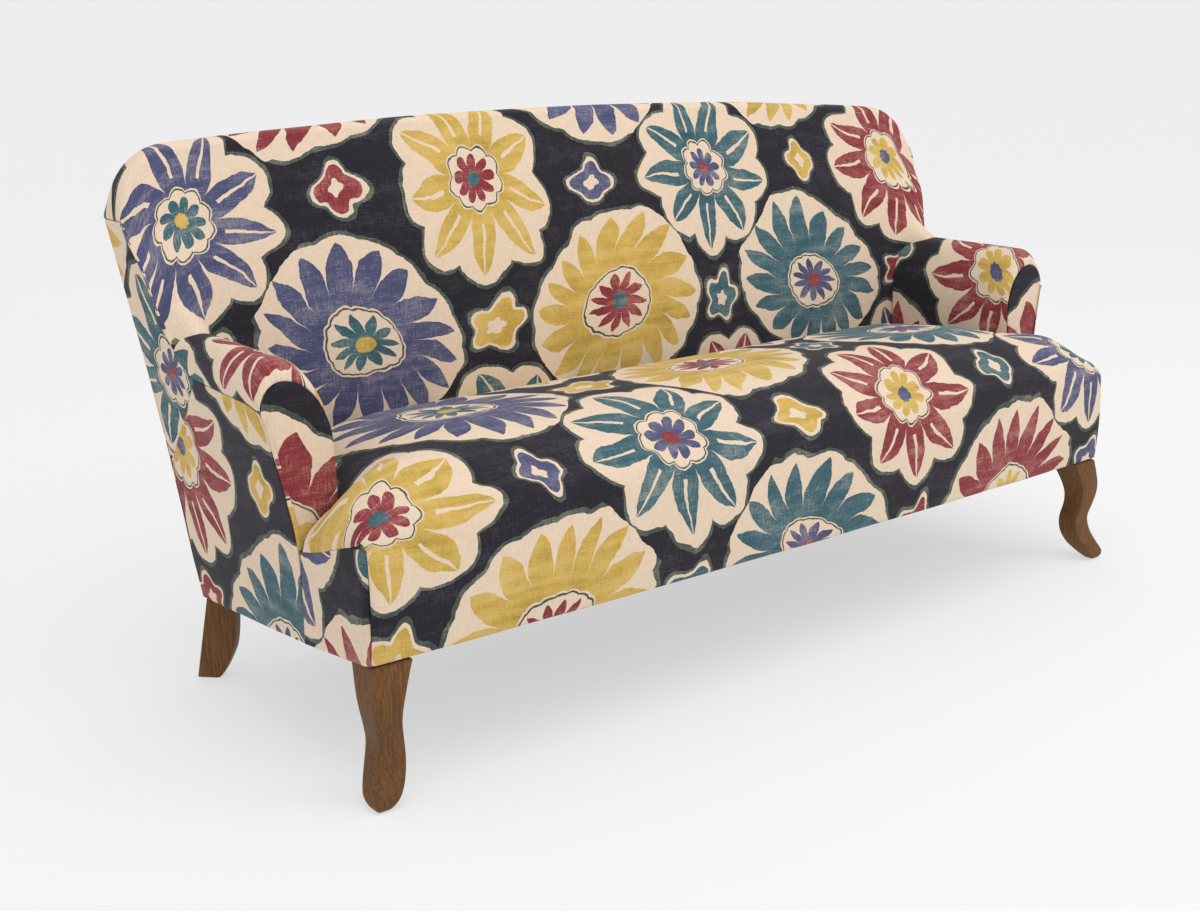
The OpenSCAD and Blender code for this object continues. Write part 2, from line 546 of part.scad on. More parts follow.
// Front leg: one curved outline sawn from two sides, as [height, outer edge, inner edge] of the leg's own axis
leg_shape = [
    [1, 1, -1.16], [0.95, 1.05, -1.02], [0.87, 1.13, -0.8], [0.76, 1.2, -0.55], [0.66, 1.15, -0.42], [0.55, 0.98, -0.45], [0.42, 0.77, -0.63],
    [0.29, 0.9, -0.6], [0.17, 1.23, -0.3], [0.087, 1.5, 0.12], [0.028, 1.45, 0.5], [0, 1.25, 0.72]];
function spline(a, b, c, d, t) = 0.5 * (2 * b + (c - a) * t + (2 * a - 5 * b + 4 * c - d) * t * t
    + (3 * b - a - 3 * c + d) * t * t * t);
function smooth_line(list, steps) = let (n = len(list) - 1) [for (i = [0:n - 1], k = [0:steps - 1])
    spline(list[max(i - 1, 0)], list[i], list[i + 1], list[min(i + 2, n)], k / steps)];
module leg_profile(h) {
    line = concat(smooth_line(leg_shape, 3), [leg_shape[len(leg_shape) - 1]]);
    polygon(concat(
        [[leg_top / 2, h + 20]], [for (p = line) [p[1] * leg_top / 2, p[0] * h]],
        [for (i = [len(line) - 1:-1:0]) [line[i][2] * leg_top / 2, line[i][0] * h]], [[-leg_top / 2, h + 20]]));
}
module front_leg(side) color(wood) left_and_right(side) difference() {
    h = under(leg_y);
    translate([leg_x, leg_y, 0]) intersection() {
        translate([0, leg_top * 1.5, 0]) rotate([90, 0, 0]) linear_extrude(leg_top * 3) leg_profile(h);
        translate([-leg_top * 1.5, 0, 0]) rotate([90, 0, 90]) linear_extrude(leg_top * 3) mirror([1, 0]) leg_profile(h);
    }
    pitched() translate([half_w - 150, -100, 0]) cube([300, 300, 100]);
    pitched() translate([half_w - 150, -100, -under_layer]) difference() {
        cube([300, 300, under_layer + 1]);
        translate([0, 113, -1]) cube([137, 187, under_layer + 3]);
    }
    pitched() leg_bore(leg_x, leg_y, bolt_d + 2 * bolt_gap, -51, 1);
}

// Rear leg: a flat sabre leg set across the corner
module rear_leg(side) color(wood) left_and_right(side) difference() {
    w = rear_leg_w;
    h = rear_h + 40;
    inner = [[-0.5, 1], [-0.49, 0.66], [-0.42, 0.42], [-0.28, 0.27], [-0.04, 0.1]];
    curve = [for (p = smooth_line(inner, 4)) [p[0] * w, p[1] * rear_h]];
    translate([rear_leg_x, rear_leg_y, 0]) rotate([0, 0, 45]) rotate([90, 0, 0])
        translate([0, 0, -rear_leg_t / 2]) linear_extrude(rear_leg_t)
            polygon(concat([[0.5 * w, h], [-0.5 * w, h]], curve,
                [[-0.04 * w, 0.1 * rear_h], [0.14 * w, 0], [0.94 * w, 0], [0.5 * w, rear_h]]));
    pitched() translate([half_w - 200, base_d - 200, 0]) cube([300, 300, 100]);
    pitched() translate([half_w - 200, base_d - 200, -under_layer]) difference() {
        cube([300, 300, under_layer + 1]);
        translate([0, 0, -1]) cube([200 - rear_tuck - 8, 196, under_layer + 3]);
    }
    pitched() leg_bore(rear_leg_x, rear_leg_y, bolt_d + 2 * bolt_gap, -51, 1);
}

// Serpentine springs: square waves of wire that arch from the front rail to the rear rail
spring_waves = 9;
spring_w = 44;
function spring_x(i) = (i - (spring_count - 1) / 2) * (2 * (rail_x - 60) / (spring_count - 1));
function spring_path(x) = [for (k = [0:2 * spring_waves]) let (
        y = lerp(springs_y0, springs_y1, k / (2 * spring_waves)), side = k % 2 == 0 ? -1 : 1)
    each [[x + side * spring_w / 2, y, spring_z(y)], [x - side * spring_w / 2, y, spring_z(y)]]];
module wire(path, d) {
    n = len(path);
    function heading(i) = let (v = path[min(i + 1, n - 1)] - path[max(i - 1, 0)]) v / norm(v);
    rings = [for (i = [0:n - 1]) let (t = heading(i), side = [t.y, -t.x, 0] / norm([t.y, -t.x, 0]),
            reach = (i == 0 || i == n - 1) ? 1 : 1.35)
        each [path[i] + side * d / 2 * reach, path[i] + [0, 0, d / 2],
              path[i] - side * d / 2 * reach, path[i] - [0, 0, d / 2]]];
    polyhedron(rings, concat(
        [for (i = [0:n - 2], k = [0:3]) let (a = 4 * i + k, b = 4 * i + (k + 1) % 4) each [[a, b, b + 4], [a, b + 4, a + 4]]],
        [[3, 2, 1], [3, 1, 0]],
        [[4 * n - 4, 4 * n - 3, 4 * n - 2], [4 * n - 4, 4 * n - 2, 4 * n - 1]]));
}
module seat_springs() color(steel) for (i = [0:spring_count - 1]) wire(spring_path(spring_x(i)), spring_wire);

module spring_clips() color(steel) for (i = [0:spring_count - 1], y = [springs_y0, springs_y1])
    translate([spring_x(i) - 12, y, spring_z(y)]) rotate([90, 0, 90]) linear_extrude(24) difference() {
        circle(r = spring_wire / 2 + 1.6, $fn = 24);
        circle(r = spring_wire / 2 + 0.3, $fn = 24);
        translate([0, -10]) square([20, 20]);
    }

module tie_rods() color(steel) for (t = [3, 6]) {
    y = lerp(springs_y0, springs_y1, t / spring_waves) + 12;
    translate([-(rail_x - 20), y, spring_z(y) + spring_wire / 2 + rod_d / 2 + soft_gap])
        rotate([0, 90, 0]) cylinder(d = rod_d, h = 2 * (rail_x - 20), $fn = 24);
}

module seat_hessian() {
    rows = [for (t = [0:0.1:1]) let (y = lerp(frame_front + 16, springs_y1 + 10, t))
        [for (s = [-1, 1]) [s * (arm_in_x - 4), y, hessian_z(y) + hessian_t]]];
    color(jute) between(rows, [for (row = rows) [for (p = row) p - [0, 0, hessian_t]]]);
}

module back_webbing() color(jute) raked() {
    span = rail_x - 60;
    for (x = [for (i = [-3:3]) i * span / 3.5]) translate([x - webbing_w / 2, -2, 8])
        cube([webbing_w, 1.4, raked_v(crest(x) - roll - 30) - 8]);
    for (v = [140, 270]) translate([-span, -3.6, v]) cube([2 * span, 1.4, webbing_w]);
}

// Stands the sofa over the middle of its box
front_reach = front_bow + belly;
rear_reach = max([for (c = [0:back_cols], turn = roll_turns) back_roll(back_u(c), turn).y]);
module placed() translate([0, -(rear_reach - front_reach) / 2, 0]) children();

placed() front_leg(-1);  // front_leg_left
placed() front_leg(1);  // front_leg_right
placed() rear_leg(-1);  // rear_leg_left
placed() rear_leg(1);  // rear_leg_right
placed() leg_bolts();
placed() leg_inserts();
placed() front_rail();
placed() rear_rail();
placed() side_rail(-1);  // side_rail_left
placed() side_rail(1);  // side_rail_right
placed() seat_stretchers();
placed() front_post(-1);  // front_post_left
placed() front_post(1);  // front_post_right
placed() corner_blocks();
placed() block_screws();
placed() back_post(-1);  // back_post_left
placed() back_post(1);  // back_post_right
placed() top_rail();
placed() lower_back_rail();
placed() back_uprights();
placed() arm_post(-1);  // arm_post_left
placed() arm_post(1);  // arm_post_right
placed() arm_rail(-1);  // arm_rail_left
placed() arm_rail(1);  // arm_rail_right
placed() tack_rail(-1);  // tack_rail_left
placed() tack_rail(1);  // tack_rail_right
placed() seat_springs();
placed() spring_clips();
placed() tie_rods();
placed() seat_hessian();
placed() back_webbing();
placed() seat_pad();
placed() front_pad();
placed() back_pad();
placed() arm_pad(-1);  // arm_pad_left
placed() arm_pad(1);  // arm_pad_right
placed() arm_lining(-1);  // arm_lining_left
placed() arm_lining(1);  // arm_lining_right
placed() seat_cover();
placed() seat_side(-1);  // seat_side_left
placed() seat_side(1);  // seat_side_right
placed() arm_cover(-1);  // arm_cover_left
placed() arm_cover(1);  // arm_cover_right
placed() arm_facing(-1);  // arm_facing_left
placed() arm_facing(1);  // arm_facing_right
placed() outer_arm(-1);  // outer_arm_left
placed() outer_arm(1);  // outer_arm_right
placed() inside_back();
placed() back_gusset(-1);  // back_gusset_left
placed() back_gusset(1);  // back_gusset_right
placed() outside_back();
placed() dust_cover();
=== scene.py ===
# Looks of the three-seater sofa: printed linen over padding, curved oiled oak legs, a plain pale studio
import json
import math
from functools import partial
from types import SimpleNamespace

import bmesh
import bpy
from mathutils import Matrix, Vector, kdtree, noise


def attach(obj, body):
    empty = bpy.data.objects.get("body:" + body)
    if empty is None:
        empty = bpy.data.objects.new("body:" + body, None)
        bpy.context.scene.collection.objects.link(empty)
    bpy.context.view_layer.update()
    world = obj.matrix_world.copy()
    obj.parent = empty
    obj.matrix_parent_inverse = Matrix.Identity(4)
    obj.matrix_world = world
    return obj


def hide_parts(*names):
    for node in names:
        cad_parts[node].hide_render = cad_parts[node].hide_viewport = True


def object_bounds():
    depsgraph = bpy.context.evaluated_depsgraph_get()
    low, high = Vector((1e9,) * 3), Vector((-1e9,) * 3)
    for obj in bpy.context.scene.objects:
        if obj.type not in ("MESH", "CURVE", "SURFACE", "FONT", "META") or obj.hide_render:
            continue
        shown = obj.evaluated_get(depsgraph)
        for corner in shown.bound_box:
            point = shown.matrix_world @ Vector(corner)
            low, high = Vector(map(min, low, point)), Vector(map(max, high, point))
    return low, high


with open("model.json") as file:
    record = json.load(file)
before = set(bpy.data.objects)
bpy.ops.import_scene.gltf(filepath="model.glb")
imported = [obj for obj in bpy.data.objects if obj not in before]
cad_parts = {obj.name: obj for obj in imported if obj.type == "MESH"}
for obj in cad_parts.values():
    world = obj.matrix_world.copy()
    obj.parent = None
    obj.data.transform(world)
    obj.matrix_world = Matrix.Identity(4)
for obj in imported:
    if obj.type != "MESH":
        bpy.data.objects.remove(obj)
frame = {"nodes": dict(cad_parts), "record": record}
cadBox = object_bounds()
print("frame loaded")

# Main sizes in millimetres and slopes. Those that part.scad names too are the same there
sofa = SimpleNamespace(
    halfWidth=880, frontHeight=218, rearHeight=148, baseDepth=600, backHeight=940,
    edgeHeight=410, crownRise=113, crownRun=300, frontBow=17, belly=4, edgeRadius=28,
    teeDepth=184, earRounds=(14, 45), springHeight=563, armHeight=629, facingHeight=597,
    armInset=68, sideInset=2, flareSlope=0.225, flareHeight=355, flareSoft=60, flareFade=0.28,
    rearTuck=24, facingLean=0.07, crestSag=30, shoulderRadius=115, seatDepth=512,
    backRake=0.30, rakeHeight=540, rakeSoft=90, rearRake=0.115, rearRakeHeight=330,
    rearRakeSoft=100, backLow=330, swell=15, roll=14, cornerRadius=18,
    hemTurn=14, hemGap=0.6, rearGap=1.5,
)
sofa.pitch = (sofa.frontHeight - sofa.rearHeight) / sofa.baseDepth
sofa.armFront = sofa.teeDepth + 6
sofa.armInner = sofa.halfWidth - sofa.armInset
sofa.wellHalf = sofa.armInner - 0.8
yMove = cadBox[0].y * 1000 + sofa.frontBow + sofa.belly  # the CAD box is centred in depth


def lerp(a, b, t):
    return a + (b - a) * t


def unit(t):
    return max(0.0, min(1.0, t))


def smooth(t):
    c = unit(t)
    return c * c * (3 - 2 * c)


def easeOut(t):
    return 1 - (1 - unit(t)) ** 3


def softRamp(h, r):
    return (h + math.sqrt(h * h + r * r)) / 2


def sinDeg(angle):
    return math.sin(math.radians(angle))


def cosDeg(angle):
    return math.cos(math.radians(angle))


# The sofa's surfaces, as in part.scad
def underside(y):
    return sofa.frontHeight - sofa.pitch * y


def flare(z):
    return sofa.flareSlope * softRamp(z - sofa.flareHeight, sofa.flareSoft)


def sideX(y, z):
    depth = unit((y - sofa.armFront) / (sofa.baseDepth - sofa.armFront))
    low = unit((sofa.flareHeight - z) / (sofa.flareHeight - sofa.rearHeight))
    share = 1 - sofa.flareFade * smooth((y - sofa.armFront) / (sofa.seatDepth - sofa.armFront))
    return sofa.halfWidth - sofa.sideInset - sofa.rearTuck * depth * low + flare(z) * share


def facingY(z):
    return sofa.armFront + sofa.facingLean * max(0, z - sofa.flareHeight)


def backFront(z):
    return sofa.seatDepth + sofa.backRake * softRamp(z - sofa.rakeHeight, sofa.rakeSoft)


def backRear(z):
    return sofa.baseDepth + sofa.rearRake * softRamp(z - sofa.rearRakeHeight, sofa.rearRakeSoft)


shoulderZ = sofa.backHeight - sofa.crestSag - sofa.shoulderRadius
backSide = sideX(sofa.baseDepth, shoulderZ)
crestX = backSide - sofa.shoulderRadius


def backFace(x, z):
    bulge = sofa.swell * (1 - unit(abs(x) / backSide) ** 4)
    rise = unit(0.1 + 0.85 * (z - sofa.backLow) / (sofa.backHeight - sofa.backLow))
    return backFront(z) - bulge * sinDeg(180 * rise)


def crest(x):
    return sofa.backHeight - sofa.crestSag * (x / crestX) ** 2


def shoulderTurn(u):
    return 90 * unit((abs(u) - 0.5) / 0.5)


def backOutline(u):
    if abs(u) <= 0.5:
        return crestX * u / 0.5, crest(crestX * u / 0.5)
    turn = shoulderTurn(u)
    reach = crestX + sofa.shoulderRadius * sinDeg(turn)
    return math.copysign(reach, u), shoulderZ + sofa.shoulderRadius * cosDeg(turn)


def outlineOut(u):
    turn = shoulderTurn(u)
    return math.copysign(sinDeg(turn), u), cosDeg(turn)


def sideRound(d, r):
    return math.sqrt(r * r - (r - d) ** 2) - r if d < r else 0.0


def earRound(y):
    return lerp(*sofa.earRounds, smooth(y / sofa.teeDepth))


def seatLine(y):
    return sofa.edgeHeight - sofa.pitch * y


# How the crown falls: to the rear, to the ends of the T, and into the crevices beside the arms
crownFall = SimpleNamespace(
    lead=6, rearShare=0.28, rearStart=380, rearRun=130, endRun=145, crevice=0.2, creviceRun=45,
    wellRun=250, armStart=90,
)


def crown(x, y):
    fall, inner, start = crownFall, sofa.armInner, crownFall.armStart
    depth = easeOut((y + fall.lead) / sofa.crownRun)
    rear = 1 - fall.rearShare * smooth((y - fall.rearStart) / fall.rearRun)
    tee = easeOut((sofa.halfWidth - abs(x)) / fall.endRun)
    if abs(x) > inner:
        well = fall.crevice * unit((inner + fall.creviceRun - abs(x)) / fall.creviceRun)
    else:
        well = lerp(fall.crevice, 1, easeOut((inner - abs(x)) / fall.wellRun))
    side = lerp(tee, well, smooth((y - start) / (sofa.teeDepth - start)))
    return sofa.crownRise * depth * rear * side


def seatTop(x, y):
    ear = sideRound(sofa.halfWidth - abs(x), earRound(y)) if y <= sofa.teeDepth + 0.1 else 0
    return seatLine(y) + crown(x, y) + ear


def frontLine(x):
    r = sofa.cornerRadius
    d = max(0, abs(x) - sofa.halfWidth + r)
    return -sofa.frontBow * (1 - (x / sofa.halfWidth) ** 2) + r - math.sqrt(max(0, r * r - d * d))


def frontTop(x):
    line = seatLine(0)
    return min(line - sofa.edgeRadius, line + sideRound(sofa.halfWidth - abs(x), earRound(0)))


def toScene(x, y, z):
    return Vector((x, y + yMove, z)) / 1000


def depthOf(co):
    return co.y * 1000 - yMove


# Stops along a panel, closer together at its seams, in shares of its length
def stops(length, step, near=(0, 1.2, 3, 6, 11)):
    last = [length - d for d in reversed(near)]
    count = max(2, round((last[0] - near[-1]) / step))
    middle = [lerp(near[-1], last[0], k / count) for k in range(1, count)]
    return [d / length for d in (*near, *middle, *last)]


def shares(last, first=0):
    return [k / last for k in range(first, last + 1)]


# How far each point of a line lies along it
def runLengths(points):
    lengths = [0.0]
    for a, b in zip(points, points[1:]):
        lengths.append(lengths[-1] + (Vector(b) - Vector(a)).length)
    return lengths


# A grid whose vertices are placed by shape(s, t), with the cloth's own coordinates in metres as its UV map
def shapedGrid(columns, rows, shape, cloth):
    mesh = bmesh.new()
    wide, high = len(columns) - 1, len(rows) - 1
    bmesh.ops.create_grid(mesh, x_segments=wide, y_segments=high, size=0.5)
    layer = mesh.loops.layers.uv.new("cloth")
    place = {}
    for vert in mesh.verts:
        place[vert] = (round((vert.co.x + 0.5) * wide), round((vert.co.y + 0.5) * high))
    for vert, (c, r) in place.items():
        vert.co = toScene(*shape(columns[c], rows[r]))
    for face in mesh.faces:
        for loop in face.loops:
            c, r = place[loop.vert]
            loop[layer].uv = cloth(loop.vert.co, columns[c], rows[r])
    mesh.normal_update()
    return mesh


rippleRun = 0.03  # metres from a seam over which the unevenness grows
hemLine = 0.215  # metres above the floor; the hems below it aren't rolled


# Rolls the cloth inwards along its seams above the hem and adds the slight unevenness of stuffing
def rollSeams(mesh, radius=0.005, depth=0.0008, uneven=0.0007, size=0.11, hem=0, keep=lambda co: False):
    rim = [v for v in mesh.verts if v.is_boundary and v.co.z >= hem and not keep(v.co)]
    tree = kdtree.KDTree(max(1, len(rim)))
    for k, vert in enumerate(rim):
        tree.insert(vert.co, k)
    tree.balance()
    moves = {}
    for vert in mesh.verts:
        d = tree.find(vert.co)[2] if rim else 1.0
        dip = 0.0
        if d < radius:
            dip = depth * (1 - math.sqrt(1 - (1 - d / radius) ** 2))
        ripple = noise.noise(vert.co / size) * uneven * unit(d / rippleRun)
        moves[vert] = vert.normal * (ripple - dip)
    for vert, move in moves.items():
        vert.co += move
    mesh.normal_update()


# Sews a strip to a rim: each of its vertices gets a twin moved by move(vert), at the same place on the cloth
def addStrip(mesh, rim, move):
    layer = mesh.loops.layers.uv["cloth"]
    twins, farRim = {}, []
    for vert in (vert for edge in rim for vert in edge.verts):
        if vert not in twins:
            twins[vert] = mesh.verts.new(vert.co + move(vert), vert)
    for edge in rim:
        near = edge.link_loops[0]
        a, b = near.vert, near.link_loop_next.vert
        uvs = {a: near[layer].uv.copy(), b: near.link_loop_next[layer].uv.copy()}
        face = mesh.faces.new((b, a, twins[a], twins[b]))
        for loop, source in zip(face.loops, (b, a, a, b)):
            loop[layer].uv = uvs[source]
        farRim.append(face.edges[2])
    return farRim, twins


# Turns a cover's edge in by its seam allowance, so that no seam stands open.
# Vertices that share a place, as at the back's corners, turn in together
def turnIn(mesh, allowance=0.007):
    rim = [edge for edge in mesh.edges if edge.is_boundary]
    places = {tuple(vert.co): -vert.normal for edge in rim for vert in edge.verts}
    inward = {vert: places[tuple(vert.co)] for edge in rim for vert in edge.verts}
    for depth in (0.15 * allowance, 0.85 * allowance):
        rim, twins = addStrip(mesh, rim, lambda vert: inward[vert] * depth)
        inward = {twin: inward[vert] for vert, twin in twins.items()}
    mesh.normal_update()


def linkObject(name, data):
    made = bpy.data.objects.new(name, data)
    bpy.context.collection.objects.link(made)
    return made


def meshObject(name, mesh, finish):
    data = bpy.data.meshes.new(name)
    mesh.to_mesh(data)
    mesh.free()
    for face in data.polygons:
        face.use_smooth = True
    data.materials.append(finish)
    return linkObject(name, data)


# Adds a piece in place of a node; the thickness of its cloth is in millimetres
def addPiece(name, mesh, finish, node, thickness=None, levels=1):
    piece = meshObject(name, mesh, finish)
    if thickness:
        wall = piece.modifiers.new("cloth thickness", "SOLIDIFY")
        wall.thickness = thickness / 1000
        wall.offset = -1
    if levels:
        soft = piece.modifiers.new("smooth", "SUBSURF")
        soft.levels = soft.render_levels = levels
        soft.boundary_smooth = "PRESERVE_CORNERS"
    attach(piece, "root")
    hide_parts(node)
    return piece


# Materials
def hexColour(code):
    values = [int(code[k:k + 2], 16) / 255 for k in (1, 3, 5)]
    return (*[v / 12.92 if v <= 0.04045 else ((v + 0.055) / 1.055) ** 2.4 for v in values], 1.0)


def newMaterial(name):
    material = bpy.data.materials.new(name)
    material.use_nodes = True
    material.node_tree.nodes.clear()
    return material, partial(addNode, material.node_tree)


# Adds one node with its settings and inputs, and gives back one of its outputs.
# A kind such as Math.ADD is a Math node with the operation ADD
def addNode(tree, kind, inputs=(), output=0, **settings):
    kind, _, operation = kind.partition(".")
    node = tree.nodes.new("ShaderNode" + kind)
    if operation:
        node.operation = operation
    for key, value in settings.items():
        setattr(node, key, value)
    pairs = inputs.items() if isinstance(inputs, dict) else enumerate(inputs)
    for key, value in pairs:
        if isinstance(value, bpy.types.NodeSocket):
            tree.links.new(value, node.inputs[key])
        elif value is not None:
            node.inputs[key].default_value = value
    return node.outputs[output] if node.outputs else None


def setRamp(socket, stopsAt, mode="LINEAR"):
    ramp = socket.node.color_ramp
    ramp.interpolation = mode
    while len(ramp.elements) < len(stopsAt):
        ramp.elements.new(0.5)
    for element, (where, colour) in zip(ramp.elements, stopsAt):
        element.position = where
        element.color = colour
    return socket


# Printed linen: plain woven slubby flax, matte, screen printed with large dry-brushed flowers on a dark
# ground. The repeat and the radii are in metres
linen = SimpleNamespace(
    repeat=(0.56, 0.51, 1.0), roundRadius=0.197, starRadius=0.18, petals=17, points=9,
    ground="#232028", cream="#dfc9b1", line="#46524a", bare="#b9aa97", worn="#55525a",
    inks=["#3d626c", "#8b363c", "#4f5274", "#c9a750"],
    threadMm=1.4,  # real threads are 0.7 mm apart, drawn coarser so that they show
)


def makeLinen():
    material, add = newMaterial("printedLinen")

    # The screen's outlines wander as if painted by hand
    cloth = add("UVMap", uv_map="cloth")
    drawn = cloth
    for scale, reach in ((3.6, 0.075), (15.0, 0.014), (70.0, 0.004)):
        wander = add("TexNoise", {"Vector": cloth, "Scale": scale, "Detail": 1.0}, "Color",
                     noise_dimensions="2D")
        wander = add("VectorMath.ADD", [wander, (-0.5, -0.5, -0.5)])
        wander = add("VectorMath.MULTIPLY", [wander, (reach, reach, 0.0)])
        drawn = add("VectorMath.ADD", [drawn, wander])
    cell = add("VectorMath.DIVIDE", [drawn, linen.repeat])

    # A lattice of motifs: the place in the motif, its angle and distance, and the sum of its row and column
    def lattice(shift, lean=0.0, oval=1.0):
        moved = add("VectorMath.ADD", [cell, (*shift, 0)])
        home = add("SeparateXYZ", [add("VectorMath.FLOOR", [moved])])
        order = add("Math.MULTIPLY_ADD", [home.node.outputs[1], 3.0, home])
        local = add("VectorMath.FRACTION", [moved])
        local = add("VectorMath.ADD", [local, (-0.5, -0.5, 0)])
        local = add("VectorMath.MULTIPLY", [local, linen.repeat])
        if lean:
            odd = add("Math.FRACT", [add("Math.MULTIPLY", [order, 0.5])])
            turn = add("Math.MULTIPLY_ADD", [odd, -4.0 * lean, lean])
            local = add("VectorRotate", {"Vector": local, "Angle": turn}, rotation_type="Z_AXIS")
            local = add("VectorMath.MULTIPLY", [local, (1 / oval, oval, 0)])
        axes = add("SeparateXYZ", [local])
        angle = add("Math.ARCTAN2", [axes.node.outputs[1], axes])
        return angle, add("VectorMath.LENGTH", [local], "Value"), order

    # 0 along a petal's middle, 1 between two petals
    def between(angle, count, shift=0.0):
        turn = add("Math.MULTIPLY", [angle, count])
        turn = add("Math.MULTIPLY_ADD", [turn, 0.5 / math.pi, shift])
        turn = add("Math.ADD", [add("Math.FRACT", [turn]), -0.5])
        return add("Math.MULTIPLY", [add("Math.ABSOLUTE", [turn]), 2.0])

    # One of the four inks, by the motif's order and a shift
    def inkFor(order, shift):
        turn = add("Math.MULTIPLY_ADD", [order, 0.25, shift + 0.125])
        inks = [(k / 4, hexColour(code)) for k, code in enumerate(linen.inks)]
        return setRamp(add("ValToRGB", [add("Math.FRACT", [turn])]), inks, "CONSTANT")

    angleA, lengthA, orderA = lattice((0.5, 0.5), lean=0.5, oval=1.13)
    angleB, lengthB, orderB = lattice((0.0, 0.0))
    star = add("Math.LESS_THAN", [lengthB, lengthA])
    angle = add("Mix", {0: star, 2: angleA, 3: angleB})
    radius = add("Math.MINIMUM", [lengthA, lengthB])
    order = add("Mix", {0: star, 2: orderA, 3: add("Math.ADD", [orderB, 1.0])})
    bent = add("Math.MULTIPLY_ADD", [star, -2.0, 1.4])
    angle = add("Math.MULTIPLY_ADD", [radius, bent, angle])
    count = add("Math.MULTIPLY_ADD", [star, linen.points - linen.petals, linen.petals])
    gap = between(angle, count)
    size = add("Math.MULTIPLY_ADD", [star, linen.starRadius - linen.roundRadius, linen.roundRadius])
    share = add("Math.DIVIDE", [radius, size])
    notch = add("Math.MULTIPLY_ADD", [star, 0.12, 0.035])
    scallop = add("Math.MULTIPLY", [add("Math.POWER", [gap, 1.8]), notch])
    reach = add("Math.DIVIDE", [share, add("Math.SUBTRACT", [1.0, scallop])])  # 1 at the rim

    # Full petals with narrow cream wedges between them, a cream ring, a small rosette and its eye
    ridge = add("Math.SUBTRACT", [1.0, gap])
    bluntness = add("Math.MULTIPLY_ADD", [star, 0.22, 0.32])
    long = add("Math.MULTIPLY_ADD", [add("Math.POWER", [ridge, bluntness]), 0.51, 0.4])
    petal = add("Math.GREATER_THAN", [reach, 0.36])
    petal = add("Math.MULTIPLY", [add("Math.LESS_THAN", [reach, long]), petal])
    width = add("Math.MULTIPLY_ADD", [reach, -0.24, 0.23])
    rib = add("Math.GREATER_THAN", [reach, 0.45])
    rib = add("Math.MULTIPLY", [add("Math.LESS_THAN", [gap, width]), rib])
    rib = add("Math.MULTIPLY", [rib, star])
    petal = add("Math.SUBTRACT", [petal, rib], use_clamp=True)
    budGap = between(angle, add("Math.MULTIPLY_ADD", [star, -2.0, 11.0]), 0.5)
    budRidge = add("Math.POWER", [add("Math.SUBTRACT", [1.0, budGap]), 0.5])
    bud = add("Math.LESS_THAN", [reach, add("Math.MULTIPLY_ADD", [budRidge, 0.2, 0.1])])
    eye = add("Math.LESS_THAN", [reach, 0.08])
    line = add("Math.COMPARE", [reach, 1.0, 0.021])
    ring = add("Math.COMPARE", [reach, 0.335, 0.009])
    line = add("Math.MAXIMUM", [line, ring])
    dark = add("Math.GREATER_THAN", [reach, 1.0])
    inked = add("Math.MAXIMUM", [add("Math.MAXIMUM", [petal, bud]), line])

    colour = hexColour(linen.cream)
    layers = [(dark, hexColour(linen.ground)), (petal, inkFor(order, 0.0)), (bud, inkFor(order, 0.5)),
              (eye, inkFor(order, 0.25)), (line, hexColour(linen.line))]

    # Small flowers and lozenges in the spaces between the large ones
    for shift, size, lobes, turn in (((0.0, 0.5), 0.062, 5.0, 0.25), ((0.5, 0.0), 0.05, 4.0, 0.75)):
        lobeAngle, distance, place = lattice(shift)
        wave = add("Math.COSINE", [add("Math.MULTIPLY", [lobeAngle, lobes])])
        wave = add("Math.MULTIPLY_ADD", [wave, 0.16 * size, 0.88 * size])
        part = add("Math.DIVIDE", [distance, wave])
        within = add("Math.LESS_THAN", [part, 1.0])
        flower = add("Math.COMPARE", [part, 0.55, 0.25])
        edge = add("Math.COMPARE", [part, 1.0, 0.07])
        layers += [(within, hexColour(linen.cream)), (flower, inkFor(place, turn)),
                   (edge, hexColour(linen.line))]
        dark = add("Math.SUBTRACT", [dark, within], use_clamp=True)
        inked = add("Math.SUBTRACT", [inked, within], use_clamp=True)
        inked = add("Math.MAXIMUM", [add("Math.MAXIMUM", [inked, flower]), edge])
    for mask, ink in layers:
        colour = add("Mix", {0: mask, 6: colour, 7: ink}, 2, data_type="RGBA")

    # Slubs along both threads, and dry places where the ink missed them
    thread = 1000 / linen.threadMm

    def streaks(scale, detail=2.0):
        run = add("Mapping", {"Vector": cloth, "Scale": scale})
        return add("TexNoise", {"Vector": run, "Scale": 1.0, "Detail": detail}, "Fac", noise_dimensions="2D")

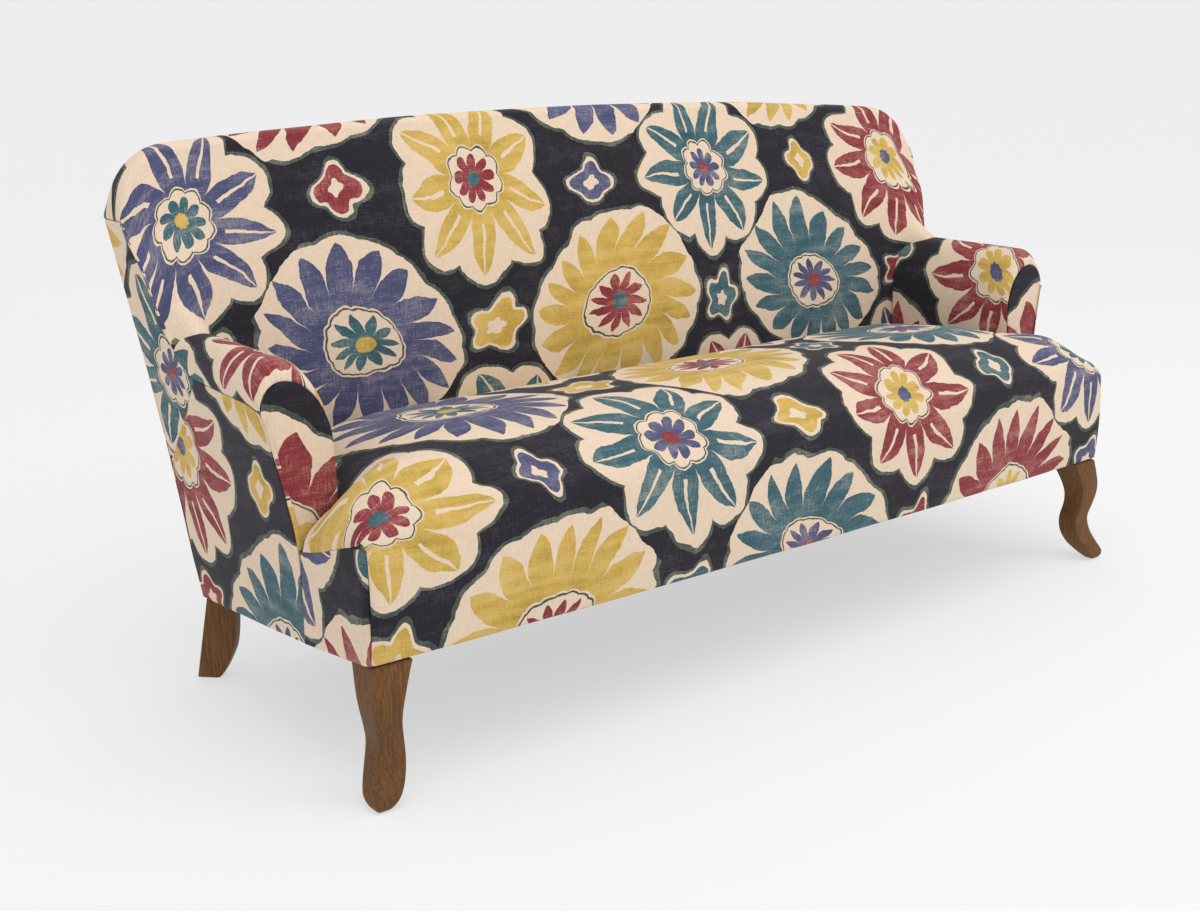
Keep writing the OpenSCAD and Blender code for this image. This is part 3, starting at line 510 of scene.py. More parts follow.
    weave = add("Math.ADD", [streaks((40, 0.7 * thread, 1)), streaks((0.7 * thread, 40, 1))])
    fine = add("Math.ADD", [streaks((110, thread, 1)), streaks((thread, 110, 1))])
    rub = add("Math.ADD", [streaks((7, 55, 1), 3.0), streaks((14, 14, 1), 3.0)])
    slub = add("Math.ADD", [weave, add("Math.MULTIPLY_ADD", [fine, 0.6, -1.6])])
    depth = add("Math.MULTIPLY_ADD", [inked, 0.2, 0.2])
    tone = add("Math.MULTIPLY_ADD", [slub, depth, 1.0])
    patch = add("Math.ADD", [rub, -1.0])
    tone = add("Math.MULTIPLY_ADD", [add("Math.MULTIPLY", [patch, inked]), 0.6, tone])
    shaded = add("VectorMath.SCALE", {0: colour, "Scale": tone})
    dry = add("Math.MULTIPLY_ADD", [slub, 0.55, 0.5])
    dry = add("Math.MULTIPLY_ADD", [patch, 0.5, dry])
    dry = setRamp(add("ValToRGB", [dry]), [(0.5, (0, 0, 0, 1)), (0.78, (1, 1, 1, 1))])
    thin = add("Math.MULTIPLY", [dry, inked])
    worn = add("Mix", {0: add("Math.MULTIPLY", [thin, 0.4]), 6: shaded, 7: hexColour(linen.bare)}, 2,
               data_type="RGBA")
    faded = add("Math.MULTIPLY", [add("Math.MULTIPLY", [dry, dark]), 0.35])
    worn = add("Mix", {0: faded, 6: worn, 7: hexColour(linen.worn)}, 2, data_type="RGBA")

    bump = add("Bump", {"Height": add("Math.ADD", [weave, fine]), "Strength": 0.45, "Distance": 0.0005})
    surface = add("BsdfPrincipled", {
        "Base Color": worn, "Roughness": 0.94, "Normal": bump, "Sheen Weight": 0.1, "Sheen Roughness": 0.5,
        "Specular IOR Level": 0.2})
    add("OutputMaterial", [surface])
    return material


# Oiled oak: straight grain along the leg, darker late wood lines and pores, low sheen from the oil
oak = SimpleNamespace(base="#694521", dark="#593a1a", light="#77502a", grainMm=3.2, poreMm=0.9)


def makeOak():
    material, add = newMaterial("oiledOak")
    place = add("TexCoord", (), "Object")
    bend = add("TexNoise", {"Vector": place, "Scale": 9.0, "Detail": 1.0}, "Color")
    bend = add("VectorMath.MULTIPLY", [bend, (0.008, 0.008, 0.0)])
    place = add("VectorMath.ADD", [place, bend])
    grainRun = add("Mapping", {"Vector": place, "Scale": (1000 / oak.grainMm, 1000 / oak.grainMm, 9)})
    grain = add("TexNoise", {"Vector": grainRun, "Scale": 1.0, "Detail": 3.0}, "Fac")
    poreRun = add("Mapping", {"Vector": place, "Scale": (1000 / oak.poreMm, 1000 / oak.poreMm, 60)})
    pores = add("TexNoise", {"Vector": poreRun, "Scale": 1.0, "Detail": 1.0}, "Fac")
    cloud = add("TexNoise", {"Vector": place, "Scale": 14.0, "Detail": 2.0}, "Fac")
    colour = setRamp(add("ValToRGB", [grain]), [
        (0.34, hexColour(oak.dark)), (0.5, hexColour(oak.base)), (0.66, hexColour(oak.light))])
    dark = setRamp(add("ValToRGB", [pores]), [(0.36, (0.72, 0.7, 0.68, 1)), (0.5, (1, 1, 1, 1))])
    colour = add("Mix", {0: 1.0, 6: colour, 7: dark}, 2, data_type="RGBA", blend_type="MULTIPLY")
    colour = add("VectorMath.SCALE", {0: colour, "Scale": add("Math.MULTIPLY_ADD", [cloud, 0.4, 0.8])})
    rough = add("Math.MULTIPLY_ADD", [grain, 0.25, 0.42])
    bump = add("Bump", {"Height": pores, "Strength": 0.25, "Distance": 0.0003})
    surface = add("BsdfPrincipled", {
        "Base Color": colour, "Roughness": rough, "Normal": bump, "IOR": 1.5, "Specular IOR Level": 0.25})
    add("OutputMaterial", [surface])
    return material


# The frame's and the filling's finishes: one function, with two tones and a real grain size for each
insideFinishes = {
    "frame_beech": ("sawnBeech", "#c9a777", "#b18c5c", (300, 300, 12), 0.7, 0.0),
    "spring_steel": ("drawnSpringWire", "#5b5e63", "#46494e", (40, 40, 40), 0.38, 1.0),
    "zinc_steel": ("zincPlatedSteel", "#9ea1a6", "#86898f", (60, 60, 60), 0.34, 1.0),
    "wadding": ("polyesterWadding", "#ece6d2", "#d8d0b6", (90, 90, 90), 0.95, 0.0),
    "jute": ("juteHessian", "#a98d5f", "#7f6740", (420, 420, 420), 0.95, 0.0),
    "dust_cloth": ("blackDustCloth", "#1f1f22", "#141416", (500, 500, 500), 0.9, 0.0),
}


def makeInside(name, first, second, scale, roughness, metal):
    material, add = newMaterial(name)
    run = add("Mapping", {"Vector": add("TexCoord", (), "Object"), "Scale": scale})
    spots = add("TexNoise", {"Vector": run, "Scale": 1.0, "Detail": 3.0}, "Fac")
    colour = setRamp(add("ValToRGB", [spots]), [(0.35, hexColour(second)), (0.65, hexColour(first))])
    bump = add("Bump", {"Height": spots, "Strength": 0.3, "Distance": 0.0004})
    surface = add("BsdfPrincipled", {
        "Base Color": colour, "Roughness": roughness, "Metallic": metal, "Normal": bump})
    add("OutputMaterial", [surface])
    return material


linenCloth = makeLinen()
oiledOak = makeOak()
inside = {slot: makeInside(*values) for slot, values in insideFinishes.items()}
for row in frame["record"]["subparts"]:
    node = frame["nodes"][row["node"]]
    if row["material_slot"] in inside:
        node.data.materials.clear()
        node.data.materials.append(inside[row["material_slot"]])
print("materials made")


# Seat cover: a T-shaped cut that runs up the front border, over the edge and the crown, into the crevices
seatTops = [sofa.edgeRadius + d for d in (8, 20, 34, 50, 68, 88, 108, 128, 142, 150)]
seatTops += [sofa.teeDepth - 3, sofa.teeDepth]
seatDeeps = [0.004, 0.012, 0.03, 0.07] + [0.07 + 0.86 * k / 9 for k in range(1, 10)]
seatDeeps += [0.965, 0.985, 0.994, 1]
seatRows = ([("hem", k / 4) for k in range(4)] + [("border", 2 * k / 9) for k in range(9)]
            + [("turn", 90 * k / 9) for k in range(10)] + [("top", y) for y in seatTops]
            + [("deep", t) for t in seatDeeps])


def seatPoint(x, kind, value):
    half = sofa.halfWidth
    if kind in ("hem", "border", "turn"):
        rise = 0 if kind != "turn" else 1 - cosDeg(value)
        x *= lerp(1 - 0.3 * sofa.cornerRadius / half, 1, rise)
        y, low, high = frontLine(x), underside(frontLine(x)), frontTop(x)
        if kind == "hem":
            return x, y + sofa.hemTurn * (1 - value), low + sofa.hemGap
        if kind == "border":
            return x, y - sofa.belly * sinDeg(90 * value), lerp(low, high, value / 2)
        top = max(high + 3, seatTop(x, sofa.edgeRadius))
        return x, lerp(y, sofa.edgeRadius, rise), lerp(high, top, sinDeg(value))
    if kind == "top":
        return x, value, seatTop(x, value)
    end = min(backFace(x, z) for z in (390, 415, 440)) - 3  # the crevice, against the back's face
    y = lerp(sofa.teeDepth, end, value)
    return x, y, seatTop(x, y + 0.2)


def seatCover():
    half, well, tee = sofa.halfWidth, sofa.wellHalf, sofa.teeDepth
    ear = [half - d for d in ((half - well) * 0.82, 50, 38, 28, 20, 14, 9, 5.5, 2.6, 0.8, 0)]
    near = [0] + [45 * k for k in range(1, 16)] + [705, 735, 760, 780, 795, 803, 808, well]
    xs = sorted({-x for x in near + ear} | set(near + ear))
    last = len(seatRows) - 1
    crevice, tuckDown = 0.37, 0.022  # metres

    def shape(s, t):
        return seatPoint(s * half, *seatRows[round(t * last)])

    def isBeside(co):
        return depthOf(co) > tee and abs(co.x) * 1000 > well

    def isEar(co):
        return abs(co.x) * 1000 > half - 12 and depthOf(co) < tee - 8

    lengths = runLengths([shape(0, t) for t in shares(last)])
    mesh = shapedGrid([x / half for x in xs], shares(last), shape,
                      lambda co, s, t: (s * half / 1000, lengths[round(t * last)] / 1000))
    bmesh.ops.delete(mesh, geom=[f for f in mesh.faces if isBeside(f.calc_center_median())], context="FACES")
    rollSeams(mesh, 0.009, 0.0055, uneven=0.0014, size=0.16, hem=0.35, keep=isEar)
    rollSeams(mesh, 0.004, 0.0005, uneven=0, hem=hemLine, keep=lambda co: not isEar(co))
    # The seams in the crevices are tucked down, and turn in towards the sofa's middle
    tuck = [e for e in mesh.edges if e.is_boundary
            and all(depthOf(v.co) > tee - 1 and v.co.z > crevice for v in e.verts)]
    for vert, twin in addStrip(mesh, tuck, lambda vert: Vector((0, 0, -tuckDown)))[1].items():
        twin.normal = vert.co.normalized()
    return mesh


# Side panel of the T, under the ear
def seatSide():
    columns = stops(176, 18)
    rows = stops(185, 22)
    start = 4.6  # behind the rounded front corner, which belongs to the border

    def top(y):
        edge = sofa.edgeRadius
        if y > edge:
            return seatTop(sofa.halfWidth, min(y, sofa.teeDepth))
        high = frontTop(sofa.halfWidth)
        turn = math.sin(math.acos(1 - unit(y / edge)))
        return lerp(high, max(high + 3, seatTop(sofa.halfWidth, edge)), turn)

    def shape(s, t):
        y = lerp(start, sofa.armFront - 0.6, s)
        r = sofa.cornerRadius
        d = max(0, r - y)
        x = sofa.halfWidth - 0.2 - (r - math.sqrt(r * r - d * d))
        z = lerp(underside(y), top(y) - 0.1, t)
        return x + 1.2 * smooth((y - start) / 40) * sinDeg(180 * s) * sinDeg(180 * t), y, z

    mesh = shapedGrid(columns, rows, shape, lambda co, s, t: (0.9 + co.y, co.z - 0.1))
    rollSeams(mesh, 0.004, 0.0005, uneven=0.0005, hem=hemLine)
    return mesh


def mirrored(mesh):
    bmesh.ops.scale(mesh, vec=(-1, 1, 1), verts=mesh.verts)
    bmesh.ops.reverse_faces(mesh, faces=mesh.faces)
    mesh.normal_update()
    return mesh


# A right-hand mesh as it is made, or mirrored for the left side
def sideMesh(make, side):
    return make() if side == "right" else mirrored(make())


# Arm cover: up the inside from the seat, over the crest, down to the seam with the outer panel.
# Its front edge is the facing's arch, flatter outside than inside. The first wallShare of it is upright
arm = SimpleNamespace(
    innerX=809, crestX=885, innerSpring=490, lowZ=335, wallShare=0.35, frontDip=11, dipRun=60, turnY=440,
    rearY=486, turnRise=72, turnRun=105, turnPower=1.4, domeRun=32, puff=5, innerPuff=0.6, seamAngle=22,
    rearGap=2.6,
)


def dome(y):
    return math.sqrt(1 - (1 - unit((y - sofa.armFront) / arm.domeRun)) ** 2)


def armSeam(y):
    dip = arm.frontDip * (1 - smooth((y - sofa.armFront) / arm.dipRun))
    rise = arm.turnRise * max(0, (y - arm.turnY) / arm.turnRun) ** arm.turnPower
    return sofa.springHeight - dip + rise


# A point of the arch at an angle, 180 on the inside, 90 on the crest and 0 at the outer seam
def archPoint(angle, y, crestZ, puff):
    seam = armSeam(y)
    outerX = sideX(y, seam)
    if angle > 90:
        return (arm.crestX + (arm.crestX - arm.innerX + arm.innerPuff * puff) * cosDeg(angle),
                arm.innerSpring + (crestZ - arm.innerSpring) * sinDeg(angle))
    x = arm.crestX + (outerX - arm.crestX + puff) * cosDeg(angle)
    if angle < arm.seamAngle:
        x = lerp(x, outerX, smooth(1 - angle / arm.seamAngle))
    return x, seam + (crestZ - seam) * sinDeg(angle)


def armPoint(t, w):
    y = lerp(sofa.armFront, arm.rearY, t)
    for _ in range(3):  # the seam's height and its depth settle together
        y = lerp(facingY(armSeam(y)), arm.rearY, t)
    puff = arm.puff * dome(lerp(sofa.armFront, arm.rearY, t))
    crestZ, wall = lerp(sofa.facingHeight, sofa.armHeight, puff / arm.puff), arm.wallShare
    if w < wall:
        z = lerp(arm.lowZ, arm.innerSpring, w / wall)
        x = arm.innerX - arm.innerPuff * puff * unit(3 * w / wall)
        rear = backFace(x, z) - arm.rearGap
    else:
        angle = lerp(180, 0, (w - wall) / (1 - wall))
        x, z = archPoint(angle, y, crestZ, puff)
        rear = min(backFace(x, z) - arm.rearGap, backFace(x, z) - sweepAt(x, z) + 3)
    return x, lerp(facingY(z), rear, t), z


def armCover():
    columns = [0, 0.0015, 0.005, 0.011, 0.02, 0.033, 0.05, 0.07, 0.095]
    columns += [0.095 + 0.885 * k / 17 for k in range(1, 18)] + [0.993, 1]
    wall = arm.wallShare
    rows = [wall * k / 7 for k in range(7)] + [wall + (1 - wall) * k / 28 for k in range(28)]
    rows += [0.985, 0.993, 1]
    lengths = dict(zip(rows, runLengths([armPoint(0.4, row) for row in rows])))
    mesh = shapedGrid(rows, columns, lambda s, t: armPoint(t, s),
                      lambda co, s, t: (co.y + 0.35, lengths[s] / 1000))
    if sum(f.normal.z for f in mesh.faces) < 0:
        bmesh.ops.reverse_faces(mesh, faces=mesh.faces)
        mesh.normal_update()
    rollSeams(mesh, uneven=0.0009, size=0.08, hem=0.40)
    return mesh


# Arm facing: a flat panel under the arch, slightly stuffed
facing = SimpleNamespace(lowZ=344, gap=1.6, puff=2.0)


def armFacing():
    front, height = sofa.armFront, sofa.facingHeight
    inner, outerEnd = (archPoint(angle, front, height, 0) for angle in (180, 0))
    rows = stops(230, 18)

    def shape(s, t):
        x, top = archPoint(180 * (1 - s), front, height, 0)
        share = (x - inner[0]) / (outerEnd[0] - inner[0])
        z = lerp(facing.lowZ, top, t)
        x = lerp(inner[0], sideX(front, min(z, outerEnd[1])), share)
        bulge = math.sqrt(max(0, sinDeg(180 * s))) * math.sqrt(max(0, sinDeg(180 * unit(0.12 + 0.86 * t))))
        return x, facingY(z) - facing.gap - facing.puff * bulge, z

    mesh = shapedGrid(shares(20), rows, shape, lambda co, s, t: (co.x + 0.2, co.z + 0.13))
    rollSeams(mesh, uneven=0.0004, hem=0.36)
    return mesh


# Outer arm panel: it runs back to the rear face, and its top seam turns down beside the back
outer = SimpleNamespace(
    seamLow=402, seamGap=0.5, turnShare=0.558, puff=2.2, tuck=9, tuckRise=60, tuckPower=1.6,
)


def outerTop(y):
    if y < arm.turnY:
        return armSeam(y) - outer.seamGap
    share = (y - arm.turnY) / (sofa.baseDepth - arm.turnY)
    return lerp(sofa.springHeight, outer.seamLow, share) - outer.seamGap


# The cloth pulls round the rear corner above the leg
def cornerTuck(z):
    return outer.tuck * (1 - unit((z - sofa.rearHeight) / outer.tuckRise)) ** outer.tuckPower


def outerPoint(s, t, short=0, low=0):
    def depth(z):
        return lerp(facingY(z) - 0.4, backRear(z) - sofa.rearGap - short - cornerTuck(z), s)

    # The seam's height and its depth settle together
    z = outerTop(depth(480))
    z = outerTop(depth(z))
    top, bottom = outerTop(depth(z)) - low, underside(depth(sofa.rearHeight)) + low
    z = lerp(bottom, top, t)
    y = depth(z)
    puff = outer.puff * sinDeg(180 * unit(s)) ** 0.8 * sinDeg(180 * t) ** 0.6
    return sideX(y, z) + puff, y, z


def outerArm():
    turn = outer.turnShare  # where the top seam turns down
    columns = [turn + d for d in (-0.02, -0.008, -0.002, 0, 0.002, 0.008, 0.02)]
    columns += [s for s in stops(410, 22) if abs(s - turn) > 0.03]
    mesh = shapedGrid(sorted(columns), stops(330, 24), outerPoint,
                      lambda co, s, t: (co.y + 0.62, co.z + 0.35))
    rollSeams(mesh, uneven=0.001, size=0.12, hem=hemLine)
    return mesh


# Inside back: one crowned panel that sweeps forward onto the arms and rolls over the crest to a seam
sweep = SimpleNamespace(
    arm=58, rise=58, nearStart=832, nearRun=42, fade=0.6, fadeStart=890, fadeRun=30, roundRun=40,
    edge=20, edgeStart=760, edgeRun=150, edgeTop=775, edgeLow=520, edgeSoft=60,
)


def rollAt(u):
    return sofa.roll * smooth((1 - abs(u)) / 0.12)


# How far the panel comes forward above an arm and along its outer edge
def sweepAt(x, z):
    across = abs(x)
    if across < arm.crestX:
        share = unit((arm.crestX - across) / (arm.crestX - arm.innerX))
        top = arm.innerSpring + (sofa.armHeight - arm.innerSpring) * math.sqrt(1 - share * share)
    else:
        share = unit((across - arm.crestX) / sweep.roundRun)
        top = sofa.springHeight + (sofa.armHeight - sofa.springHeight) * math.sqrt(1 - share * share)
    near = smooth((across - sweep.nearStart) / sweep.nearRun)
    near *= 1 - sweep.fade * smooth((across - sweep.fadeStart) / sweep.fadeRun)
    edge = smooth((across - sweep.edgeStart) / sweep.edgeRun)
    edge *= smooth((sweep.edgeTop - z) / sweep.edgeSoft)
    edge *= smooth((z - sweep.edgeLow) / sweep.edgeSoft)
    return sweep.edge * edge + sweep.arm * near * unit(1 - (z - top) / sweep.rise) ** 2


backTurns = [12, 24, 36, 50, 64, 78, 92, 106, 120, 134, 148, 158, 166, 172, 175]
backShares = [0.05 * k for k in range(8)] + [0.385 + 0.0175 * k for k in range(18)]
backShares += [0.72 + 0.035 * k for k in range(9)]
backRows = [("face", share) for share in backShares] + [("roll", turn) for turn in backTurns]


def backPoint(u, kind, value):
    out, edge = outlineOut(u), backOutline(u)
    top = [edge[k] - rollAt(u) * out[k] for k in (0, 1)]
    if kind == "face":
        z = lerp(sofa.backLow, top[1], value)
        half = sideX(sofa.baseDepth, lerp(sofa.backLow, shoulderZ, value))
        x = math.copysign(min(abs(top[0]) * half / backSide, half - 0.3), u)
        return x, backFace(x, z) - sweepAt(x, z), z
    y0, y1 = backFace(*top) - sweepAt(*top), backRear(top[1])
    lift = rollAt(u) * sinDeg(value)
    return top[0] + out[0] * lift, (y0 + y1) / 2 - (y1 - y0) / 2 * cosDeg(value), top[1] + out[1] * lift


def insideBack():
    ends = [0.5 + d / 2 for d in (-1, -0.9985, -0.996, -0.99, -0.98)]
    middle = [0.5 + lerp(-0.98, 0.98, k / 62) / 2 for k in range(1, 62)]
    columns = ends + middle + [1 - c for c in reversed(ends)]
    last = len(backRows) - 1

    def shape(s, t):
        return backPoint(2 * s - 1, *backRows[round(t * last)])

    lengths = runLengths([shape(0.5, t) for t in shares(last)])
    mesh = shapedGrid(columns, shares(last), shape,
                      lambda co, s, t: (co.x, lengths[round(t * last)] / 1000 + 0.27))
    rollSeams(mesh, 0.006, 0.001, uneven=0.0016, size=0.17, hem=0.34)
    return mesh


# Gusset: the boxed side of the back, above the outer arm panel
def backGusset():
    spring, low, base = sofa.springHeight, outer.seamLow + outer.seamGap, sofa.baseDepth
    heights = [low, low + 2, low + 6, low + 14, 440, 470, 505, 535, 552, 559, 562,
               spring, 564, 566, 570, 578, 586, 594, 603, 613, 624, 636,
               650, 668, 690, 715, 740, 765, 782, shoulderZ - 8, shoulderZ - 4, shoulderZ - 1]
    last = len(heights) - 1

    def front(z):
        if z < spring:
            return lerp(base - 1, arm.turnY, (z - outer.seamLow) / (spring - outer.seamLow)) - 1
        along = arm.turnRun * ((z - spring) / arm.turnRise) ** (1 / arm.turnPower)
        return min(backFront(z) - sweepAt(sideX(base, z), z) + 1, arm.turnY + along - 1)

    def shape(s, t):
        z = heights[round(t * last)]
        rear = backRear(z) - sofa.rearGap
        y = lerp(min(front(z), rear - 10), rear, s)
        puff = 2.5 * sinDeg(180 * s) * smooth(unit((z - low) / 120)) * smooth(unit((shoulderZ - z) / 40))
        return sideX(y, z) + puff, y, z

    mesh = shapedGrid(stops(100, 14, near=(0, 2, 5, 10)), shares(last), shape,
                      lambda co, s, t: (co.y + 0.1, co.z + 0.2))
    rollSeams(mesh, uneven=0.0007, size=0.1)
    return mesh


# Outside back: one flat panel from the crest's seam to the floor rail
def outsideBack():
    columns = stops(1800, 42)
    rows = stops(760, 40)

    def shape(s, t):
        u = 1 - 2 * s
        out, edge = outlineOut(u), backOutline(u)
        inset = max(rollAt(u) + 1.4, 1.6)
        top = [edge[k] - inset * out[k] for k in (0, 1)]
        z = lerp(sofa.rearHeight + sofa.hemGap, top[1], t)
        half = sideX(sofa.baseDepth, lerp(sofa.rearHeight, shoulderZ, t))
        tuck = cornerTuck(z) * abs(u) ** 40
        y = backRear(z) - tuck + 2 * sinDeg(180 * unit(s)) ** 0.5 * sinDeg(180 * t) ** 0.5
        return (top[0] - math.copysign(0.4 * tuck, u)) * half / backSide, y, z

    mesh = shapedGrid(columns, rows, shape, lambda co, s, t: (0.3 - co.x, co.z))
    rollSeams(mesh, 0.008, 0.003, uneven=0.0015, size=0.2)
    return mesh


# Filling and linings under the covers, which the photograph doesn't show
filling = SimpleNamespace(
    underLayer=3.8, railHeight=100, springsFront=34, springsRear=562, springArch=36, springTop=11.3,
    inset=4.3, armPad=18, rakeY=553, rakeZ=400, rakeShare=0.245, webbing=50, strap=1.4,
)
frameTop = lerp(backFront(sofa.backHeight), backRear(sofa.backHeight), filling.rakeShare)
frameRake = (frameTop - filling.rakeY) / (sofa.backHeight - filling.rakeZ)


def hessianZ(y):
    t = unit((y - filling.springsFront) / (filling.springsRear - filling.springsFront))
    rail = underside(y) + filling.underLayer + filling.railHeight
    return rail + filling.springTop + 4 * filling.springArch * t * (1 - t)


def deck(y):
    return hessianZ(max(0, y)) + 2.7


def frameY(z):
    return filling.rakeY + frameRake * (z - filling.rakeZ)


# A closed pad between an outer surface, moved in by an inset, and what lies behind each of its points
def closedPad(columns, rows, surface, inset, behind):
    mesh = shapedGrid(columns, rows, surface, lambda co, s, t: (s, t))
    outward = {vert: vert.normal.copy() for vert in mesh.verts}
    far = mesh.copy()
    for vert, normal in outward.items():
        vert.co -= normal * inset / 1000
    for vert, front in zip(list(far.verts), list(mesh.verts)):
        place = front.co * 1000
        vert.co = behind(Vector((place.x, place.y - yMove, place.z)), outward[front])
    data = bpy.data.meshes.new("behind")
    far.to_mesh(data)
    far.free()
    mesh.from_mesh(data)
    bpy.data.meshes.remove(data)
    bmesh.ops.bridge_loops(mesh, edges=[e for e in mesh.edges if e.is_boundary])
    bmesh.ops.recalc_face_normals(mesh, faces=mesh.faces)
    return mesh


# The T-shaped seat pad: crowned above, hollow below where it lies on the sprung hessian
def seatPad():
    tee, wide, well = sofa.teeDepth, sofa.halfWidth - 7, sofa.wellHalf - 4
    kinds = ([("border", value) for value in (1.1, 1.5, 1.9)] + [("turn", 15 * k) for k in range(7)]
             + [("top", y) for y in seatTops] + [("deep", t) for t in seatDeeps])
    last = len(kinds) - 1

    def surface(s, t):
        kind, value = kinds[round(t * last)]
        half = well if kind == "deep" else wide
        return seatPoint(math.copysign(half * (1 - (1 - abs(s)) ** 1.35), s), kind, value)

    def behind(place, normal):
        half = wide if place.y < tee + 0.3 else well
        return toScene(max(-half, min(half, place.x)), place.y, deck(place.y))

    return closedPad(shares(24, -24), shares(last), surface, filling.inset + 1, behind)


def frontPad():
    def surface(s, t):
        x = s * (sofa.halfWidth - 36)
        y, low, high = frontLine(x), underside(frontLine(x)), frontTop(x)
        z = lerp(low + filling.underLayer + 4, deck(24) - 1, t)
        return x, y - sofa.belly * (1 - abs(2 * (z - low) / (high - low) - 1)), z

    def behind(place, normal):
        return toScene(place.x, 9.4 + (place.z - underside(0) - filling.underLayer) * sofa.pitch, place.z)

    return closedPad(shares(16, -16), shares(6), surface, filling.inset, behind)


def backPad():
    rows = [0.02 + 0.965 * k / 24 for k in range(25)]

    def surface(s, t):
        x, y, z = backPoint(s, "face", rows[round(t * 24)])
        return math.copysign(min(abs(x), sideX(sofa.baseDepth, z) - 10), x), y, z

    def behind(place, normal):
        return toScene(place.x, max(place.y + 2, frameY(place.z) - 4), place.z)

    return closedPad(shares(26, -26), shares(24), surface, filling.inset, behind)


def armPad():
    def surface(s, t):
        return armPoint(0.02 + 0.9 * t, s)

    def behind(place, normal):
        return toScene(*place) - normal * filling.armPad / 1000

    return closedPad([0.1 + 0.89 * k / 22 for k in range(23)], shares(12), surface, filling.inset, behind)


def seatHessian():
    def shape(s, t):
        y = lerp(26, 572, t)
        return s * (sofa.armInner - 4), y, hessianZ(y) + 1.5
    return shapedGrid(shares(12, -12), shares(14), shape, lambda co, s, t: (co.x, co.y))


def armLining():
    def shape(s, t):
        x, y, z = outerPoint(s, t, 100, 6)
        return x - 5, y, z
    columns, rows = (stops(length, 40, near=(0, 12)) for length in (310, 330))
    return shapedGrid(columns, rows, shape, lambda co, s, t: (co.y, co.z))


# Black cloth under the frame, cut out round the four legs
def dustCover():
    half = 844
    frontX, frontY, rearX, rearY = 808, 72, 789, 535  # where the cuts round the legs begin
    columns = [x / half for x in (-half, -frontX, -rearX, *range(-720, 721, 90), rearX, frontX, half)]
    rows = [8, 40, frontY, *range(120, 521, 80), rearY, 562, 590]
    last = len(rows) - 1

    def shape(s, t):
        y = rows[round(t * last)]
        return half * s, y, underside(y) + 2.6 + 0.8 * abs(s) ** 6

    def isCut(co):
        x, y = abs(co.x) * 1000, depthOf(co)
        return (x > frontX and y < frontY) or (x > rearX and y > rearY)

    mesh = shapedGrid(columns, shares(last), shape, lambda co, s, t: (co.x, co.y))
    bmesh.ops.delete(mesh, geom=[f for f in mesh.faces if isCut(f.calc_center_median())], context="FACES")
    bmesh.ops.reverse_faces(mesh, faces=mesh.faces)
    return mesh


# Webbing: seven upright straps and two across, tacked to the raked back frame.
# v is a height above the rake's foot
def backWebbing():
    reach = 766  # to the outer straps' middles
    low, under = 8, 38  # the upright straps' lower ends, and how far under the roll their upper ends lie
    mesh = bmesh.new()

    def strap(x0, x1, v0, v1, forward):
        segments = [max(1, round(length / 60)) for length in (x1 - x0, v1 - v0)]
        made = bmesh.ops.create_grid(mesh, x_segments=segments[0], y_segments=segments[1], size=0.5)
        for vert in made["verts"]:
            x, v = lerp(x0, x1, vert.co.x + 0.5), lerp(v0, v1, vert.co.y + 0.5)
            z = filling.rakeZ + v
            vert.co = toScene(x, frameY(z) - forward, z)

    width = filling.webbing
    for k in range(-3, 4):
        x = k * reach / 3.5
        strap(x - width / 2, x + width / 2, low, crest(x) - sofa.roll - under - filling.rakeZ, 0.7)
    for v in (140, 270):
        strap(-reach, reach, v * 0.97, v * 0.97 + width, 2.4)
    bmesh.ops.reverse_faces(mesh, faces=mesh.faces)
    mesh.normal_update()
    return mesh


clothMm = 1.6  # thickness of the printed cloth


def addCover(name, mesh, node):
    turnIn(mesh)
    addPiece(name, mesh, linenCloth, node, clothMm)


pads = (
    ("seatPad", seatPad, "seat_pad", 0.85), ("frontPad", frontPad, "front_pad", 0.8),
    ("backPad", backPad, "back_pad", 0.8),
)
for title, make, node, fill in pads:
    addPiece(title, make(), inside["wadding"], node)
for side in ("left", "right"):
    mesh = sideMesh(armPad, side)
    addPiece(f"armPad.{side}", mesh, inside["wadding"], f"arm_pad_{side}")
    mesh = sideMesh(armLining, side)
    piece = addPiece(f"armLining.{side}", mesh, inside["jute"], f"arm_lining_{side}", 1.8)
piece = addPiece("seatHessian", seatHessian(), inside["jute"], "seat_hessian", 1.5)
piece = addPiece("dustCover", dustCover(), inside["dust_cloth"], "dust_cover", 1.0, 0)
addPiece("backWebbing", backWebbing(), inside["jute"], "back_webbing", filling.strap, 0)
print("filling made")

addCover("seatCover", seatCover(), "seat_cover")
addCover("insideBackCover", insideBack(), "inside_back")
addCover("outsideBackCover", outsideBack(), "outside_back")
sidePieces = (
    ("seatSidePanel", seatSide, "seat_side", "front_post"),
    ("armCover", armCover, "arm_cover", "arm_pad"),
    ("armFacing", armFacing, "arm_facing", "arm_post"),
    ("outerArmPanel", outerArm, "outer_arm", "arm_lining"),
    ("backGusset", backGusset, "back_gusset", "back_post"),
)
for title, make, node, under in sidePieces:
    for side in ("left", "right"):
        addCover(f"{title}.{side}", sideMesh(make, side), f"{node}_{side}")
print("covers made")


# Front leg: one curve sawn from two sides of a square post, its edges eased.
# Each point of the curve is a share of the height, then the outer and the inner face in half widths
leg = SimpleNamespace(
    size=61, inset=34, ease=3.2, topShift=(-4, -2), footShift=(-1, -11),
    curve=[
        (1, 1, -1.16), (0.95, 1.05, -1.02), (0.87, 1.13, -0.8), (0.76, 1.2, -0.55), (0.66, 1.15, -0.42),
        (0.55, 0.98, -0.45), (0.42, 0.77, -0.63), (0.29, 0.9, -0.6), (0.17, 1.23, -0.3), (0.087, 1.5, 0.12),
        (0.028, 1.45, 0.5), (0, 1.25, 0.72)],
)


